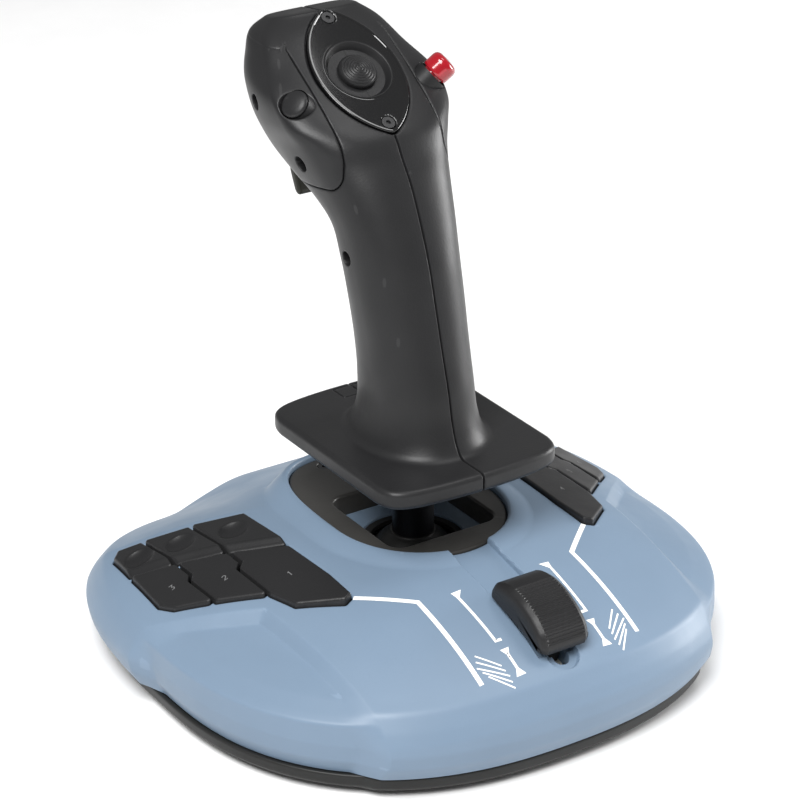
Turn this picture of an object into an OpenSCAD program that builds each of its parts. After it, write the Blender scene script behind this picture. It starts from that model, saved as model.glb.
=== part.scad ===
// Desk flight joystick: a domed base with button groups and a throttle slider,
// a gimballed stick, and a hollow two-half grip with trigger, hat and head buttons.
// Millimetres. +X is the user's right, +Y points away from the user, +Z is up.
// The origin is the middle of the footprint, on the surface the rubber feet stand on.

/* [Base] */
// half width of the base outline, side to side
base_half_w = 102; // [98:0.5:106]
// distance from the stick axis to the front edge
base_front = 97; // [94:0.5:100]
// distance from the stick axis to the rear wall
base_back = 95.5; // [92:0.5:98]
// height of the dome at the stick
dome_z = 51; // [50:0.25:52]
// height of the dome at its rim
rim_z = 25.5; // [24:0.25:27]
// wall thickness of the base shell
base_wall = 2.6; // [2.2:0.1:3]
// height of the base buttons' caps above the dome
cap_rise = 1.5; // [1:0.1:2.5]

/* [Stick] */
// height of the two crossing gimbal axes
pivot_z = 28; // [27.5:0.1:28.5]
// radius of the ball at the foot of the stick
ball_r = 16; // [15:0.25:16.5]
// radius of the visible shaft
shaft_r = 7; // [6.5:0.1:7]
// running clearance between a shaft or pin and its bore
run_fit = 0.05; // [0.02:0.01:0.09]

/* [Grip] */
// height of the hand rest plate's top face
rest_z = 80; // [79.5:0.1:80.5]
// thickness of the hand rest plate
rest_t = 6.5; // [5.5:0.25:7]
// half width of the hand rest plate
rest_half_w = 34; // [32:0.5:36]
// wall thickness of the grip shells
grip_wall = 2.4; // [2:0.1:2.6]
// width of the trigger blade
trigger_w = 9; // [7:0.5:9.5]

/* [Hidden] */
$fn = 48;
big = 300;
seam = 0.05;
wall_steps = 60;

// Base outline and dome. The outline is a superellipse, fuller at the back.
n_front = 2.4;
n_back = 3.0;
function outline_n(t) = sin(t) < 0 ? n_front : n_back;
function outline_b(t) = sin(t) < 0 ? base_front : base_back;
function outline_r(t) = pow(
    pow(abs(cos(t)) / base_half_w, outline_n(t)) + pow(abs(sin(t)) / outline_b(t), outline_n(t)),
    -1 / outline_n(t));
function edge_z(t) = rim_z + (sin(t) < 0 ? 3 * pow(-sin(t), 6) : 0);
function fall(t) = 2.35 + (sin(t) < 0 ? 0.6 : -0.35) * pow(sin(t), 2);
function dome_at(t, f) = dome_z - (dome_z - edge_z(t)) * pow(f, fall(t));
function dome(x, y) = let (t = atan2(y, x)) dome_at(t, min(1, norm([x, y]) / outline_r(t)));

// A level of a stacked ring solid: [fraction of the outline, z, drop below the dome].
// z is fixed when positive, measured from the rim when negative, and the dome's own when undef.
function level_point(l, t, inset) = let (r = outline_r(t) * l[0] - inset)
    [r * cos(t), r * sin(t), is_undef(l[1]) ? dome_at(t, l[0]) - l[2] : (l[1] < 0 ? edge_z(t) + l[1] : l[1])];

module ring_solid(levels, inset, steps) {
    n = len(levels);
    pts = [for (l = levels) for (i = [0:steps - 1]) level_point(l, 360 * i / steps, inset)];
    sides = [for (k = [0:n - 2]) for (i = [0:steps - 1])
        let (a = k * steps + i, b = k * steps + (i + 1) % steps)
        each [[a, b + steps, b], [a, a + steps, b + steps]]];
    polyhedron(concat(pts, [[0, 0, pts[0][2]], [0, 0, is_undef(levels[n - 1][1]) ? dome_z - levels[n - 1][2]
            : levels[n - 1][1]]]),
        concat(sides,
            [for (i = [0:steps - 1]) [i, (i + 1) % steps, n * steps]],
            [for (i = [0:steps - 1]) [(n - 1) * steps + (i + 1) % steps, (n - 1) * steps + i, n * steps + 1]]));
}

// Button groups: caps given as right-hand outlines, [outline, centre of the press area, dimpled]
caps = [
    [[[46, 4.5], [61, 17], [61, 42], [46, 32.5]], [54, 26], true],
    [[[61.8, 17.7], [74.5, 28], [74.5, 50.5], [61.8, 42.5]], [68.5, 36], true],
    [[[75.3, 28.7], [86.6, 38], [84.8, 53], [82, 55.5], [75.3, 51]], [80.5, 43], true],
    [[[46, 3.5], [60.8, 15.7], [60.8, 8.6], [63.2, 6.2], [63.2, -13.6], [60.5, -24.5], [48.6, -34.8],
        [45.6, -33.6], [45, -20]], [54, -8], false],
    [[[61.8, 16.6], [74.4, 26.9], [74.4, 18], [76.2, 15.6], [76.2, -1], [64, -12.8], [64, 6.7], [61.8, 9]],
        [69, 8], false],
    [[[75.3, 27.7], [86.8, 37.1], [88.6, 15], [86.2, 8.8], [77, -0.3], [77, 15.9], [75.3, 18.3]],
        [82, 20], false]];
cap_gap = 0.45;
cap_depth = 5;
cap_stem_r = 2.5;
stem_foot_z = 24.2;
board_z = 19;
board_t = 1.6;
pad_h = 2;
dimple_r = 10;
dimple_depth = 1.3;

// Gimbal cover
cover_top = 49.6;
cover_t = 2.6;
cover_front = 33;
cover_back = 49;
cover_half = 30;
bezel_w = 5.5;
bezel_top = 51.5;
ledge_w = 4;
opening_half = 20.5;
opening_r = 5;
skirt_foot = 42;
skirt_half = opening_half + 1.6;
skirt_r = opening_r + 1.6;
hole_r = 17.5;
hole_z = 38.5;

// Throttle slide: a frame tilted with the dome, its +Y up the slope
slide_y = -69.5;
slide_z = 40;
slide_tilt = 19.3;
slot_w = 5.5;
slot_from = -15.5;
slot_to = 10;
rail_in = 6.1;
rail_t = 2;
rail_drop = 1.2;
pot_y = 48;
pot_top = -10;
pot_h = 7;
track_w = 11;
track_drop = 1;
ramp_w = 15.6;
knob_w = 19;
knob_base = 3.3;
stem_y = -12.5;
stem_l = 10;
stem_foot = -6;

// Screws and bosses
case_screws_at = [[-72, -52], [72, -52], [-66, 66], [66, 66], [-22, -82], [22, -82]];
boss_r = 5;
pillar_r = 3.6;
split_z = 8;
floor_top = 4;
floor_z = 1.5;
gland_z = 15;
inlet_half = 9;
inlet_top = 22.5;
inlet_gap = 0.1;
post_r = 2.4;
main_z = 10.5;
hall_z = 7.6;
main_posts_at = [[-30, 52], [30, 52], [-30, 78], [30, 78]];
button_posts_at = [[62, -12], [81, 14], [78, 40], [62, 32]];
feet_at = [[-62, -58], [62, -58], [-66, 50], [66, 50]];
foot_r = 8;

// Gimbal
ring_in = 17.2;
ring_out = 21;
ring_h = 7;
pin_r = 2.5;
roll_pin_r = 2;
post_x = 26;
post_t = 5;

// Stick and twist
ball_flat = 18;
core_r = 6;
core_top = 112;
tip_r = 3;
tip_top = 118;
cable_bore = 3.4;
bush_out = 9;
rib_z = 106;
rib_h = 4;

// Grip rings from the hand rest up to the crown:
// front y, front z, rear y, rear z, half width, place of the widest point, front and rear roundness
grip_rings = [
    [-30, 80, 27, 80, 23, 0.5, 2.3, 2.3],
    [-25.5, 84, 21.5, 84, 19.2, 0.5, 2.3, 2.3],
    [-23.5, 89, 19.5, 89, 17.8, 0.5, 2.3, 2.3],
    [-21, 100, 18.8, 100, 17.3, 0.5, 2.3, 2.3],
    [-17.5, 112, 19.7, 112, 17.5, 0.5, 2.3, 2.3],
    [-13.6, 126, 21.7, 124, 18.1, 0.5, 2.3, 2.3],
    [-9.2, 141, 25.5, 138, 18.8, 0.5, 2.3, 2.3],
    [-4.8, 152, 29.5, 148, 19.7, 0.48, 2.4, 2.3],
    [1, 164, 39, 153, 21.7, 0.44, 2.5, 2.2],
    [6.5, 172, 54, 158, 24.5, 0.36, 2.6, 2.1],
    [10.5, 178, 66, 165, 27.2, 0.28, 2.6, 2.2],
    [17, 182.8, 71.5, 176, 30.4, 0.22, 2.5, 2.3],
    [26, 189, 73, 187, 31, 0.2, 2.5, 2.5],
    [36.5, 196.2, 72.5, 195.5, 25.5, 0.22, 2.6, 2.7],
    [47, 203.4, 70, 202, 19.5, 0.26, 2.6, 2.8],
    [54.5, 208, 65, 206, 14, 0.3, 2.6, 2.8]];
grip_steps = 18;
function signed_pow(v, e) = sign(v) * pow(abs(v), e);
function ring_point(r, t) =
    let (e = cos(t) < 0 ? 2 / r[6] : 2 / r[7],
        u = signed_pow(cos(t), e),
        v = signed_pow(sin(t), e),
        k = u < 0 ? r[5] * (1 + u) : r[5] + (1 - r[5]) * u)
    [r[4] * v, r[0] + k * (r[2] - r[0]), r[1] + k * (r[3] - r[1])];
function shrink(r, w) =
    let (d = [r[2] - r[0], r[3] - r[1]] / norm([r[2] - r[0], r[3] - r[1]]) * w)
    [r[0] + d[0], r[1] + d[1], r[2] - d[0], r[3] - d[1], r[4] - w, r[5], r[6], r[7]];
cavity_rings = [for (k = [2:13]) shrink(grip_rings[k], grip_wall)];

// The head's side panels: their outline in the side view
panel_line = [[46, 200.5], [35.6, 194.5], [27, 189], [17, 182], [12, 176.5], [10, 171], [11, 167.5],
    [14.5, 165], [22, 162], [30, 160.5], [36, 157], [42, 148], [90, 148], [90, 194], [60, 199.5]];
spine_w = 7.2;
panel_gap = 0.2;

// Hat plate frame, on the sloping face of the head
hat_at = [0, 32.5, 193.2];
hat_tilt = 34.7;
leaf_r = 29.65;
leaf_shift = 14.25;
leaf_tip = 25.6;
plate_up = 0.8;
plate_down = 1.4;
cup_r = 12.4;
cup_foot = 6;
dish_r = 10.8;
dish_floor = 4.2;
hat_pivot = 8;
hat_screws_at = [22, -21.5];

// Head buttons
button_at = [26.2, 28.4, 188.4];
button_lean = 49.5;
button_turn = -19.1;
button_r = 4.6;
button_bore = 4.95;

// Trigger
trigger_pivot = [61, 177];
trigger_pin_r = 1.5;
cheek_in = 5.4;

// Grip screws in the side view: [y, z, where the head's outer face lies from the middle plane]
grip_screw_at = [[10.5, 140.3, 15], [14.2, 97, 10.5]];
panel_screw_at = [[27, 168.5], [47.4, 184]];

blue = [0.56, 0.65, 0.745];
black = [0.2, 0.2, 0.205];
dark = [0.12, 0.12, 0.125];
steel = [0.72, 0.73, 0.75];
green = [0.1, 0.35, 0.2];

// ---------- shared shapes ----------

module base_outline(f) {
    polygon([for (i = [0:wall_steps - 1])
        let (t = 360 * i / wall_steps, r = outline_r(t) * f)
        [r * cos(t), r * sin(t)]]);
}

module rounded_square(hx, hy, r) {
    offset(r) square([2 * (hx - r), 2 * (hy - r)], center = true);
}

module cover_outline(d) {
    polygon([for (i = [0:wall_steps - 1])
        let (t = 360 * i / wall_steps,
            n = sin(t) < 0 ? 2.1 : 3.3,
            a = cover_half + d,
            b = (sin(t) < 0 ? cover_front : cover_back) + d,
            r = pow(pow(abs(cos(t)) / a, n) + pow(abs(sin(t)) / b, n), -1 / n))
        [r * cos(t), r * sin(t)]]);
}

module on_slide() {
    translate([0, slide_y, slide_z]) rotate([slide_tilt, 0, 0]) children();
}

module on_hat() {
    translate(hat_at) rotate([hat_tilt, 0, 0]) children();
}

module on_button() {
    translate(button_at) rotate([0, button_lean, button_turn]) children();
}

// Turns a child drawn in the side view (y, z) and extruded along its own z so that it runs along X
module along_x(x0, x1) {
    translate([x0, 0, 0]) rotate([90, 0, 90]) linear_extrude(x1 - x0) children();
}

module rod_x(x0, x1, y, z, r) {
    translate([x0, y, z]) rotate([0, 90, 0]) cylinder(r = r, h = x1 - x0);
}

module rod_y(y0, y1, x, z, r) {
    translate([x, y1, z]) rotate([90, 0, 0]) cylinder(r = r, h = y1 - y0);
}

module tube(r_out, r_in, h) {
    difference() {
        cylinder(r = r_out, h = h);
        translate([0, 0, -1]) cylinder(r = r_in, h = h + 2);
    }
}

// A coil of round wire standing on its own z axis
module coil(r, wire, pitch, turns) {
    sides = 6;
    per_turn = 14;
    n = per_turn * turns;
    pts = [for (i = [0:n]) for (j = [0:sides - 1])
        let (a = 360 * i / per_turn, b = 360 * j / sides, q = r + wire * cos(b))
        [q * cos(a), q * sin(a), pitch * i / per_turn + wire * sin(b)]];
    walls = [for (i = [0:n - 1]) for (j = [0:sides - 1])
        let (p = i * sides + j, q = i * sides + (j + 1) % sides)
        each [[p, q, q + sides], [p, q + sides, p + sides]]];
    polyhedron(pts, concat(walls,
        [[for (j = [sides - 1:-1:0]) j]],
        [[for (j = [0:sides - 1]) n * sides + j]]));
}

// Half of the grip's body, x from 0 outwards
module half_loft(rings) {
    m = grip_steps + 1;
    n = len(rings);
    pts = [for (r = rings) for (i = [0:grip_steps]) ring_point(r, 180 * i / grip_steps)];
    skin = [for (k = [0:n - 2]) for (i = [0:grip_steps - 1])
        let (a = k * m + i)
        each [[a, a + 1, a + 1 + m], [a, a + 1 + m, a + m]]];
    flat = [for (k = [0:n - 2])
        let (a = k * m, b = k * m + grip_steps)
        each [[a, b + m, b], [a, a + m, b + m]]];
    polyhedron(pts, concat(skin, flat,
        [[for (i = [grip_steps:-1:0]) i]],
        [[for (i = [0:grip_steps]) (n - 1) * m + i]]));
}

// ---------- base ----------

module dome_solid(inset, drop) {
    ring_solid([[0.961, split_z - 1, 0], [0.99, 13, 0], [1, 18, 0], [0.994, -5.5, 0], [0.975, -1.5, 0],
        [0.94, undef, drop], [0.87, undef, drop], [0.78, undef, drop], [0.67, undef, drop],
        [0.54, undef, drop], [0.38, undef, drop]], inset, wall_steps);
}

module dome_cavity() {
    w = base_wall;
    ring_solid([[0.958, split_z - 2, 0], [0.99, 13, 0], [1, 18, 0], [0.99, -7.5, 0], [0.95, undef, w + 1.2],
        [0.85, undef, w], [0.74, undef, w], [0.6, undef, w], [0.42, undef, w]], w, 48);
}

// One pocket for the six caps of a side
module cap_pocket() {
    closing = 0.6;
    translate([0, 0, 10]) linear_extrude(50) offset(delta = -closing) offset(delta = cap_gap + closing)
        for (c = caps)
            polygon(c[0]);
}

module side_recess() {
    // shallow sunken panel on the front corner, following the dome
    depth = 2.4;
    difference() {
        translate([0, 0, -1]) linear_extrude(60)
            polygon([[110, 14], [94, 13], [69, -18], [67, -38], [62, -86], [66, -110], [110, -110]]);
        ring_solid([[0.965, split_z - 4, 0], [0.99, 13, 0], [1, 18, 0], [0.994, -5.5, 0], [0.97, -2.5, 0],
            [0.94, undef, 2], [0.87, undef, 1.7], [0.78, undef, 1.5], [0.67, undef, 1.4],
            [0.5, undef, 1.4]], depth, wall_steps);
    }
}

module base_top_shell() {
    color(blue) difference() {
        union() {
            difference() {
                dome_solid(0, 0);
                difference() {
                    dome_cavity();
                    // pillars for the case screws
                    for (p = case_screws_at)
                        translate([p[0], p[1], 14]) cylinder(r = pillar_r, h = dome(p[0], p[1]) - 15.5);
                }
                translate([0, 0, 30]) linear_extrude(40) cover_outline(0);
            }
            // raised bezel and the ledge that carries the gimbal cover
            translate([0, 0, 47]) linear_extrude(bezel_top - 47) difference() {
                cover_outline(bezel_w);
                cover_outline(0);
            }
            translate([0, 0, 44.4]) linear_extrude(cover_top - cover_t - 44.4) difference() {
                cover_outline(2);
                cover_outline(-ledge_w);
            }
            // bed under the ramp, and rails that hold the slide potentiometer
            on_slide() {
                translate([-rail_in - rail_t, -21, -3]) cube([2 * (rail_in + rail_t), 45, 3]);
                for (s = [-1, 1])
                    translate([s * (rail_in + rail_t / 2) - rail_t / 2, -pot_y / 2, pot_top - pot_h])
                        cube([rail_t, pot_y, pot_h - pot_top - rail_drop]);
            }
        }
        translate([0, 0, 40]) linear_extrude(20) rounded_square(skirt_half + 0.3, skirt_half + 0.3, skirt_r);
        translate([-big / 2, -big / 2, split_z - 10]) cube([big, big, 10]);
        for (s = [0, 1])
            mirror([s, 0, 0]) {
                cap_pocket();
                side_recess();
            }
        for (p = case_screws_at)
            translate([p[0], p[1], 10]) cylinder(r = 1.55, h = 13);
        // slider track and slot
        on_slide() {
            translate([-ramp_w / 2, -16, 0]) cube([ramp_w, 60, 8]);
            translate([0, 0, -track_drop]) linear_extrude(8) hull() for (y = [slot_from, slot_to])
                translate([0, y]) circle(r = track_w / 2);
            translate([0, 0, -8]) linear_extrude(12) hull() for (y = [slot_from, slot_to])
                translate([0, y]) circle(r = slot_w / 2);
        }
        inlet_block(0);
        for (x = [-8, 8])
            translate([x, 43, 40]) cylinder(r = 1.3, h = 10);
    }
}

// The notch in the rear wall that the inlet plate fills
module inlet_block(gap) {
    translate([-inlet_half + gap, 80, split_z - 5])
        cube([2 * (inlet_half - gap), 30, inlet_top - gap - split_z + 5]);
}

module inlet_plate() {
    color(blue) difference() {
        intersection() {
            difference() {
                dome_solid(0, 0);
                dome_cavity();
            }
            inlet_block(inlet_gap);
        }
        translate([-big / 2, -big / 2, split_z - 10]) cube([big, big, 10]);
        rod_y(80, 110, 0, gland_z, 4.75);
    }
}

module base_bottom_shell() {
    color(dark) difference() {
        union() {
            difference() {
                union() {
                    translate([0, 0, floor_z]) linear_extrude(2) base_outline(0.945);
                    translate([0, 0, floor_z + 1]) linear_extrude(split_z - floor_z - 1) base_outline(0.96);
                }
                translate([0, 0, floor_top]) linear_extrude(10) base_outline(0.925);
            }
            for (p = case_screws_at)
                translate([p[0], p[1], floor_z]) cylinder(r = boss_r, h = 13.9 - floor_z);
            // posts under the boards
            for (p = main_posts_at)
                translate([p[0], p[1], floor_z]) cylinder(r = post_r, h = main_z - floor_z);
            for (s = [-1, 1]) for (p = button_posts_at)
                translate([s * p[0], p[1], floor_z]) cylinder(r = post_r, h = board_z - floor_z);
            for (s = [-1, 1])
                translate([s * 8, 0, floor_z]) cylinder(r = post_r, h = hall_z - floor_z);
        }
        for (p = case_screws_at)
            translate([p[0], p[1], 0]) {
                cylinder(r = 3.3, h = 6);
                cylinder(r = 1.7, h = 20);
            }
        for (p = feet_at)
            translate([p[0], p[1], 0]) cylinder(r = foot_r + 0.2, h = 2);
    }
}

module ballast_plate() {
    color(steel) translate([0, 0, floor_top]) linear_extrude(3) difference() {
        translate([-58, -56]) square([116, 102]);
        translate([-38, -40]) square([76, 90]);
    }
}

module rubber_feet() {
    color(dark) for (p = feet_at)
        translate([p[0], p[1], 0]) cylinder(r = foot_r, h = 2);
}

module case_screws() {
    color(steel) for (p = case_screws_at)
        translate([p[0], p[1], 0]) difference() {
            union() {
                translate([0, 0, 4]) cylinder(r = 3, h = 2);
                translate([0, 0, 5.5]) cylinder(r = 1.5, h = 16);
            }
            translate([0, 0, 3]) cylinder(r = 1.2, h = 2, $fn = 6);
        }
}

module main_board() {
    color(green) difference() {
        translate([-34, 48, main_z]) cube([68, 34, board_t]);
        for (p = main_posts_at)
            translate([p[0], p[1], main_z - 1]) cylinder(r = 1.4, h = 4);
    }
    color(dark) translate([-9, 58, main_z + board_t]) cube([14, 14, 1.4]);
}

module cable_gland() {
    // the cord's inlet: the cord itself is not part of the model
    color(dark) difference() {
        union() {
            rod_y(base_back - 8, base_back + 0.5, 0, gland_z, 4.6);
            rod_y(base_back + 0.05, base_back + 1.5, 0, gland_z, 6);
            rod_y(base_back - 9.5, base_back - 6.5, 0, gland_z, 6);
        }
        rod_y(base_back - 12, base_back + 5, 0, gland_z, 2.3);
    }
}

module gimbal_cover() {
    color(black) difference() {
        union() {
            translate([0, 0, cover_top - cover_t]) linear_extrude(cover_t) cover_outline(-0.25);
            translate([0, 0, skirt_foot]) linear_extrude(cover_top - cover_t - skirt_foot)
                rounded_square(skirt_half, skirt_half, skirt_r);
        }
        translate([0, 0, 40]) linear_extrude(20) rounded_square(opening_half, opening_half, opening_r);
        for (x = [-8, 8])
            translate([x, 43, 0]) {
                translate([0, 0, 40]) cylinder(r = 1.3, h = 20);
                translate([0, 0, cover_top - 1.2]) cylinder(r = 2.4, h = 5);
            }
    }
}

module gimbal_cover_screws() {
    color(steel) for (x = [-8, 8])
        translate([x, 43, 0]) difference() {
            union() {
                translate([0, 0, cover_top - 1.2]) cylinder(r = 2.2, h = 0.9);
                translate([0, 0, 43]) cylinder(r = 1.2, h = cover_top - 1.2 - 43);
            }
            translate([0, 0, cover_top - 0.8]) cylinder(r = 0.9, h = 2, $fn = 6);
        }
}

module gate_funnel() {
    color(blue) difference() {
        translate([0, 0, hole_z]) linear_extrude(skirt_foot - hole_z)
            rounded_square(skirt_half, skirt_half, skirt_r);
        hull() {
            translate([0, 0, skirt_foot]) linear_extrude(0.1)
                rounded_square(opening_half - 0.2, opening_half - 0.2, opening_r);
            translate([0, 0, hole_z + 0.8]) cylinder(r = hole_r, h = 0.1);
        }
        translate([0, 0, hole_z - 1]) cylinder(r = hole_r, h = 3);
    }
}

module ball_collar() {
    color(dark) translate([0, 0, hole_z - 1.6]) tube(19.6, 14.9, 1.6);
}

module gimbal_frame() {
    color(dark) difference() {
        union() {
            translate([0, 0, 9.5]) cylinder(r = 33, h = 3);
            for (s = [-1, 1])
                translate([s * (post_x + post_t / 2) - post_t / 2, -8, 12.5]) cube([post_t, 16, 22]);
            for (a = [45:90:315])
                rotate(a) translate([29, 0, floor_top]) cylinder(r = 3, h = 6);
        }
        translate([0, 0, 9]) cylinder(r = 13, h = 5);
        rod_x(-40, 40, 0, pivot_z, pin_r + run_fit);
    }
}

module pitch_springs() {
    color(steel) for (s = [-1, 1])
        translate([s * 32.4, 0, pivot_z]) rotate([0, s * 90, 0]) coil(4, 0.6, 1.5, 3);
}

module hall_sensor_board() {
    color(green) translate([0, 0, hall_z]) cylinder(r = 12, h = board_t);
    color(dark) translate([-2, -2, hall_z + board_t]) cube([4, 4, 1]);
}

module board_outline() {
    polygon([[48, 2], [47, -28], [58, -22], [70, -6], [84, 10], [86, 24], [83, 48], [64, 38], [48, 29]]);
}

module right_button_board() {
    color(green) translate([0, 0, board_z]) linear_extrude(board_t) board_outline();
}

module left_button_board() {
    mirror([1, 0, 0]) right_button_board();
}

module right_dome_mat() {
    color([0.75, 0.75, 0.72]) translate([0, 0, board_z + board_t]) {
        linear_extrude(0.8) offset(delta = -1) board_outline();
        for (c = caps)
            translate([c[1][0], c[1][1], 0.7]) cylinder(r1 = 3.4, r2 = 2.2, h = pad_h - 0.7);
    }
}

module left_dome_mat() {
    mirror([1, 0, 0]) right_dome_mat();
}

// A half space under the plane that touches the dome at p, raised by the cap's rise
module under_dome(p) {
    e = 2;
    gx = (dome(p[0] + e, p[1]) - dome(p[0] - e, p[1])) / (2 * e);
    gy = (dome(p[0], p[1] + e) - dome(p[0], p[1] - e)) / (2 * e);
    translate([p[0], p[1], dome(p[0], p[1]) + cap_rise])
        rotate([0, acos(1 / norm([gx, gy, 1])), atan2(-gy, -gx)])
            translate([-60, -60, -80]) cube([120, 120, 80]);
}

module button_cap(k) {
    c = caps[k];
    p = c[1];
    low = min([for (q = c[0]) dome(q[0], q[1])]) - cap_depth;
    color(black) difference() {
        union() {
            intersection() {
                translate([0, 0, low]) linear_extrude(40) polygon(c[0]);
                under_dome(p);
            }
            translate([p[0], p[1], stem_foot_z]) cylinder(r = cap_stem_r, h = max(1, low + 1 - stem_foot_z));
        }
        if (c[2])
            translate([p[0], p[1], dome(p[0], p[1]) + cap_rise + dimple_r - dimple_depth])
                sphere(r = dimple_r);
    }
}

// ---------- throttle slider ----------

module slider_knob() {
    color(black) on_slide() {
        along_x(-knob_w / 2, knob_w / 2)
            polygon([[-15.4, knob_base], [-16.4, 4], [-16.2, 8], [-13.6, 12.6], [-8, 15.8], [0, 17.2],
                [7, 16.8], [12, 14.8], [15, 11], [15.6, 6], [15.2, knob_base]]);
        translate([-slot_w / 2 + 0.3, stem_y, stem_foot]) cube([slot_w - 0.6, stem_l, knob_base + 1 - stem_foot]);
    }
}

module slider_carriage() {
    color(dark) on_slide() {
        translate([-5.5, stem_y - 2, stem_foot - 3]) cube([11, stem_l + 4, 3]);
        translate([-0.9, stem_y + 3, pot_top - 2.5]) cube([1.8, 4, 3.5]);
    }
}

module slide_potentiometer() {
    color(steel) on_slide() difference() {
        translate([-6, -pot_y / 2, pot_top - pot_h]) cube([12, pot_y, pot_h]);
        translate([-1.3, -20, pot_top - 3]) cube([2.6, 40, 5]);
    }
}

// ---------- gimbal and stick ----------

module gimbal_ring() {
    color(steel) difference() {
        union() {
            translate([0, 0, pivot_z - ring_h / 2]) tube(ring_out, ring_in, ring_h);
            for (s = [-1, 1])
                rod_x(s > 0 ? ring_in + 1 : -38, s > 0 ? 38 : -ring_in - 1, 0, pivot_z, pin_r);
        }
        rod_y(-30, 30, 0, pivot_z, roll_pin_r + run_fit);
    }
}

module roll_springs() {
    color(steel) for (s = [-1, 1])
        translate([0, s * 22.2, pivot_z]) rotate([-s * 90, 0, 0]) coil(2.9, 0.45, 1.1, 3);
}

module stick_ball() {
    color(dark) difference() {
        union() {
            intersection() {
                translate([0, 0, pivot_z]) sphere(r = ball_r);
                translate([-20, -20, ball_flat]) cube([40, 40, 40]);
            }
            rod_y(-26.5, 26.5, 0, pivot_z, roll_pin_r);
        }
        translate([0, 0, 33]) cylinder(r = shaft_r, h = 20);
        translate([0, 0, ball_flat - 1]) cylinder(r = 4, h = 5);
        translate([0, 0, ball_flat]) cylinder(r = cable_bore, h = 20);
    }
}

module stick_shaft() {
    color(dark) difference() {
        union() {
            translate([0, 0, 33]) cylinder(r = shaft_r, h = rest_z + 3 - 33);
            translate([0, 0, rest_z]) cylinder(r = core_r, h = core_top - rest_z);
            translate([0, 0, core_top - 1]) cylinder(r = tip_r, h = tip_top - core_top + 1);
        }
        translate([0, 0, 20]) cylinder(r = cable_bore, h = 86);
        translate([0, 0, 98]) rotate([90, 0, 0]) cylinder(r = 2, h = 10);
    }
}

module sensor_magnet() {
    color(steel) translate([0, 0, ball_flat]) cylinder(r = 4, h = 4);
}

module shaft_snap_ring() {
    color(steel) translate([0, 0, rib_z + rib_h + 0.5]) tube(7.8, core_r, 1);
}

// ---------- grip ----------

module rest_plate() {
    arc_r = 130;
    translate([0, 0, rest_z - rest_t]) linear_extrude(rest_t) intersection() {
        rounded_square(rest_half_w, 42, 8);
        translate([0, arc_r - 41.5]) circle(r = arc_r, $fn = 120);
        translate([0, 41.5 - arc_r]) circle(r = arc_r, $fn = 120);
    }
}

module panel_region(gap) {
    along_x(spine_w - gap, 60) offset(delta = gap) polygon(panel_line);
}

module hat_leaf(d) {
    intersection() {
        translate([leaf_shift, 0]) circle(r = leaf_r + d, $fn = 96);
        translate([-leaf_shift, 0]) circle(r = leaf_r + d, $fn = 96);
        circle(r = leaf_tip + d, $fn = 96);
    }
}

module grip_half() {
    difference() {
        union() {
            difference() {
                union() {
                    half_loft(grip_rings);
                    intersection() {
                        rest_plate();
                        translate([0, -60, 60]) cube([60, 120, 40]);
                    }
                }
                half_loft(cavity_rings);
                panel_region(panel_gap / 2);
            }
            // cheeks beside the trigger
            intersection() {
                half_loft(grip_rings);
                along_x(cheek_in, spine_w - panel_gap / 2) polygon([[48, 150], [48, 189], [80, 189], [80, 150]]);
            }
            // rib for the upper twist bush, and screw bosses
            intersection() {
                translate([0, 0, rib_z]) cylinder(r = 16.4, h = rib_h);
                translate([0, -30, 100]) cube([30, 60, 20]);
            }
            intersection() {
                half_loft(grip_rings);
                for (p = grip_screw_at)
                    rod_x(0, 20, p[0], p[1], 3);
            }
        }
        translate([0, 0, 60]) cylinder(r = bush_out, h = 22.5);
        translate([0, 0, 80]) cylinder(r = shaft_r + 0.6, h = 12);
        translate([0, 0, rib_z - 1]) cylinder(r = 8.5, h = rib_h + 2);
        on_hat() {
            translate([0, 0, -plate_down]) linear_extrude(20) hat_leaf(0.2);
            translate([0, 0, -12]) cylinder(r = cup_r + 0.25, h = 20);
            for (y = hat_screws_at)
                translate([0, y, -10]) cylinder(r = 1.15, h = 12);
        }
        along_x(-1, cheek_in) polygon([[51, 152], [51, 186], [65, 186], [90, 174], [90, 152]]);
        rod_x(-1, 30, trigger_pivot[0], trigger_pivot[1], trigger_pin_r);
        translate([-1, 31, rest_z - 3.2]) cube([8.2, 7.4, 5]);
    }
}

module grip_shell_right() {
    color(black) translate([seam, 0, 0]) difference() {
        grip_half();
        for (p = grip_screw_at)
            rod_x(-1, 8.5, p[0], p[1], 1.25);
    }
}

module grip_shell_left() {
    color(black) translate([-seam, 0, 0]) mirror([1, 0, 0]) difference() {
        grip_half();
        for (p = grip_screw_at) {
            rod_x(-1, 30, p[0], p[1], 1.5);
            rod_x(p[2] - 2, 30, p[0], p[1], 2.4);
        }
    }
}

module grip_screws() {
    color(steel) for (p = grip_screw_at)
        difference() {
            union() {
                rod_x(-p[2], 1.85 - p[2], p[0], p[1], 2.2);
                rod_x(1.8 - p[2], 8, p[0], p[1], 1.2);
            }
            rod_x(-p[2] - 1, 1 - p[2], p[0], p[1], 0.9);
        }
}

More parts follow.
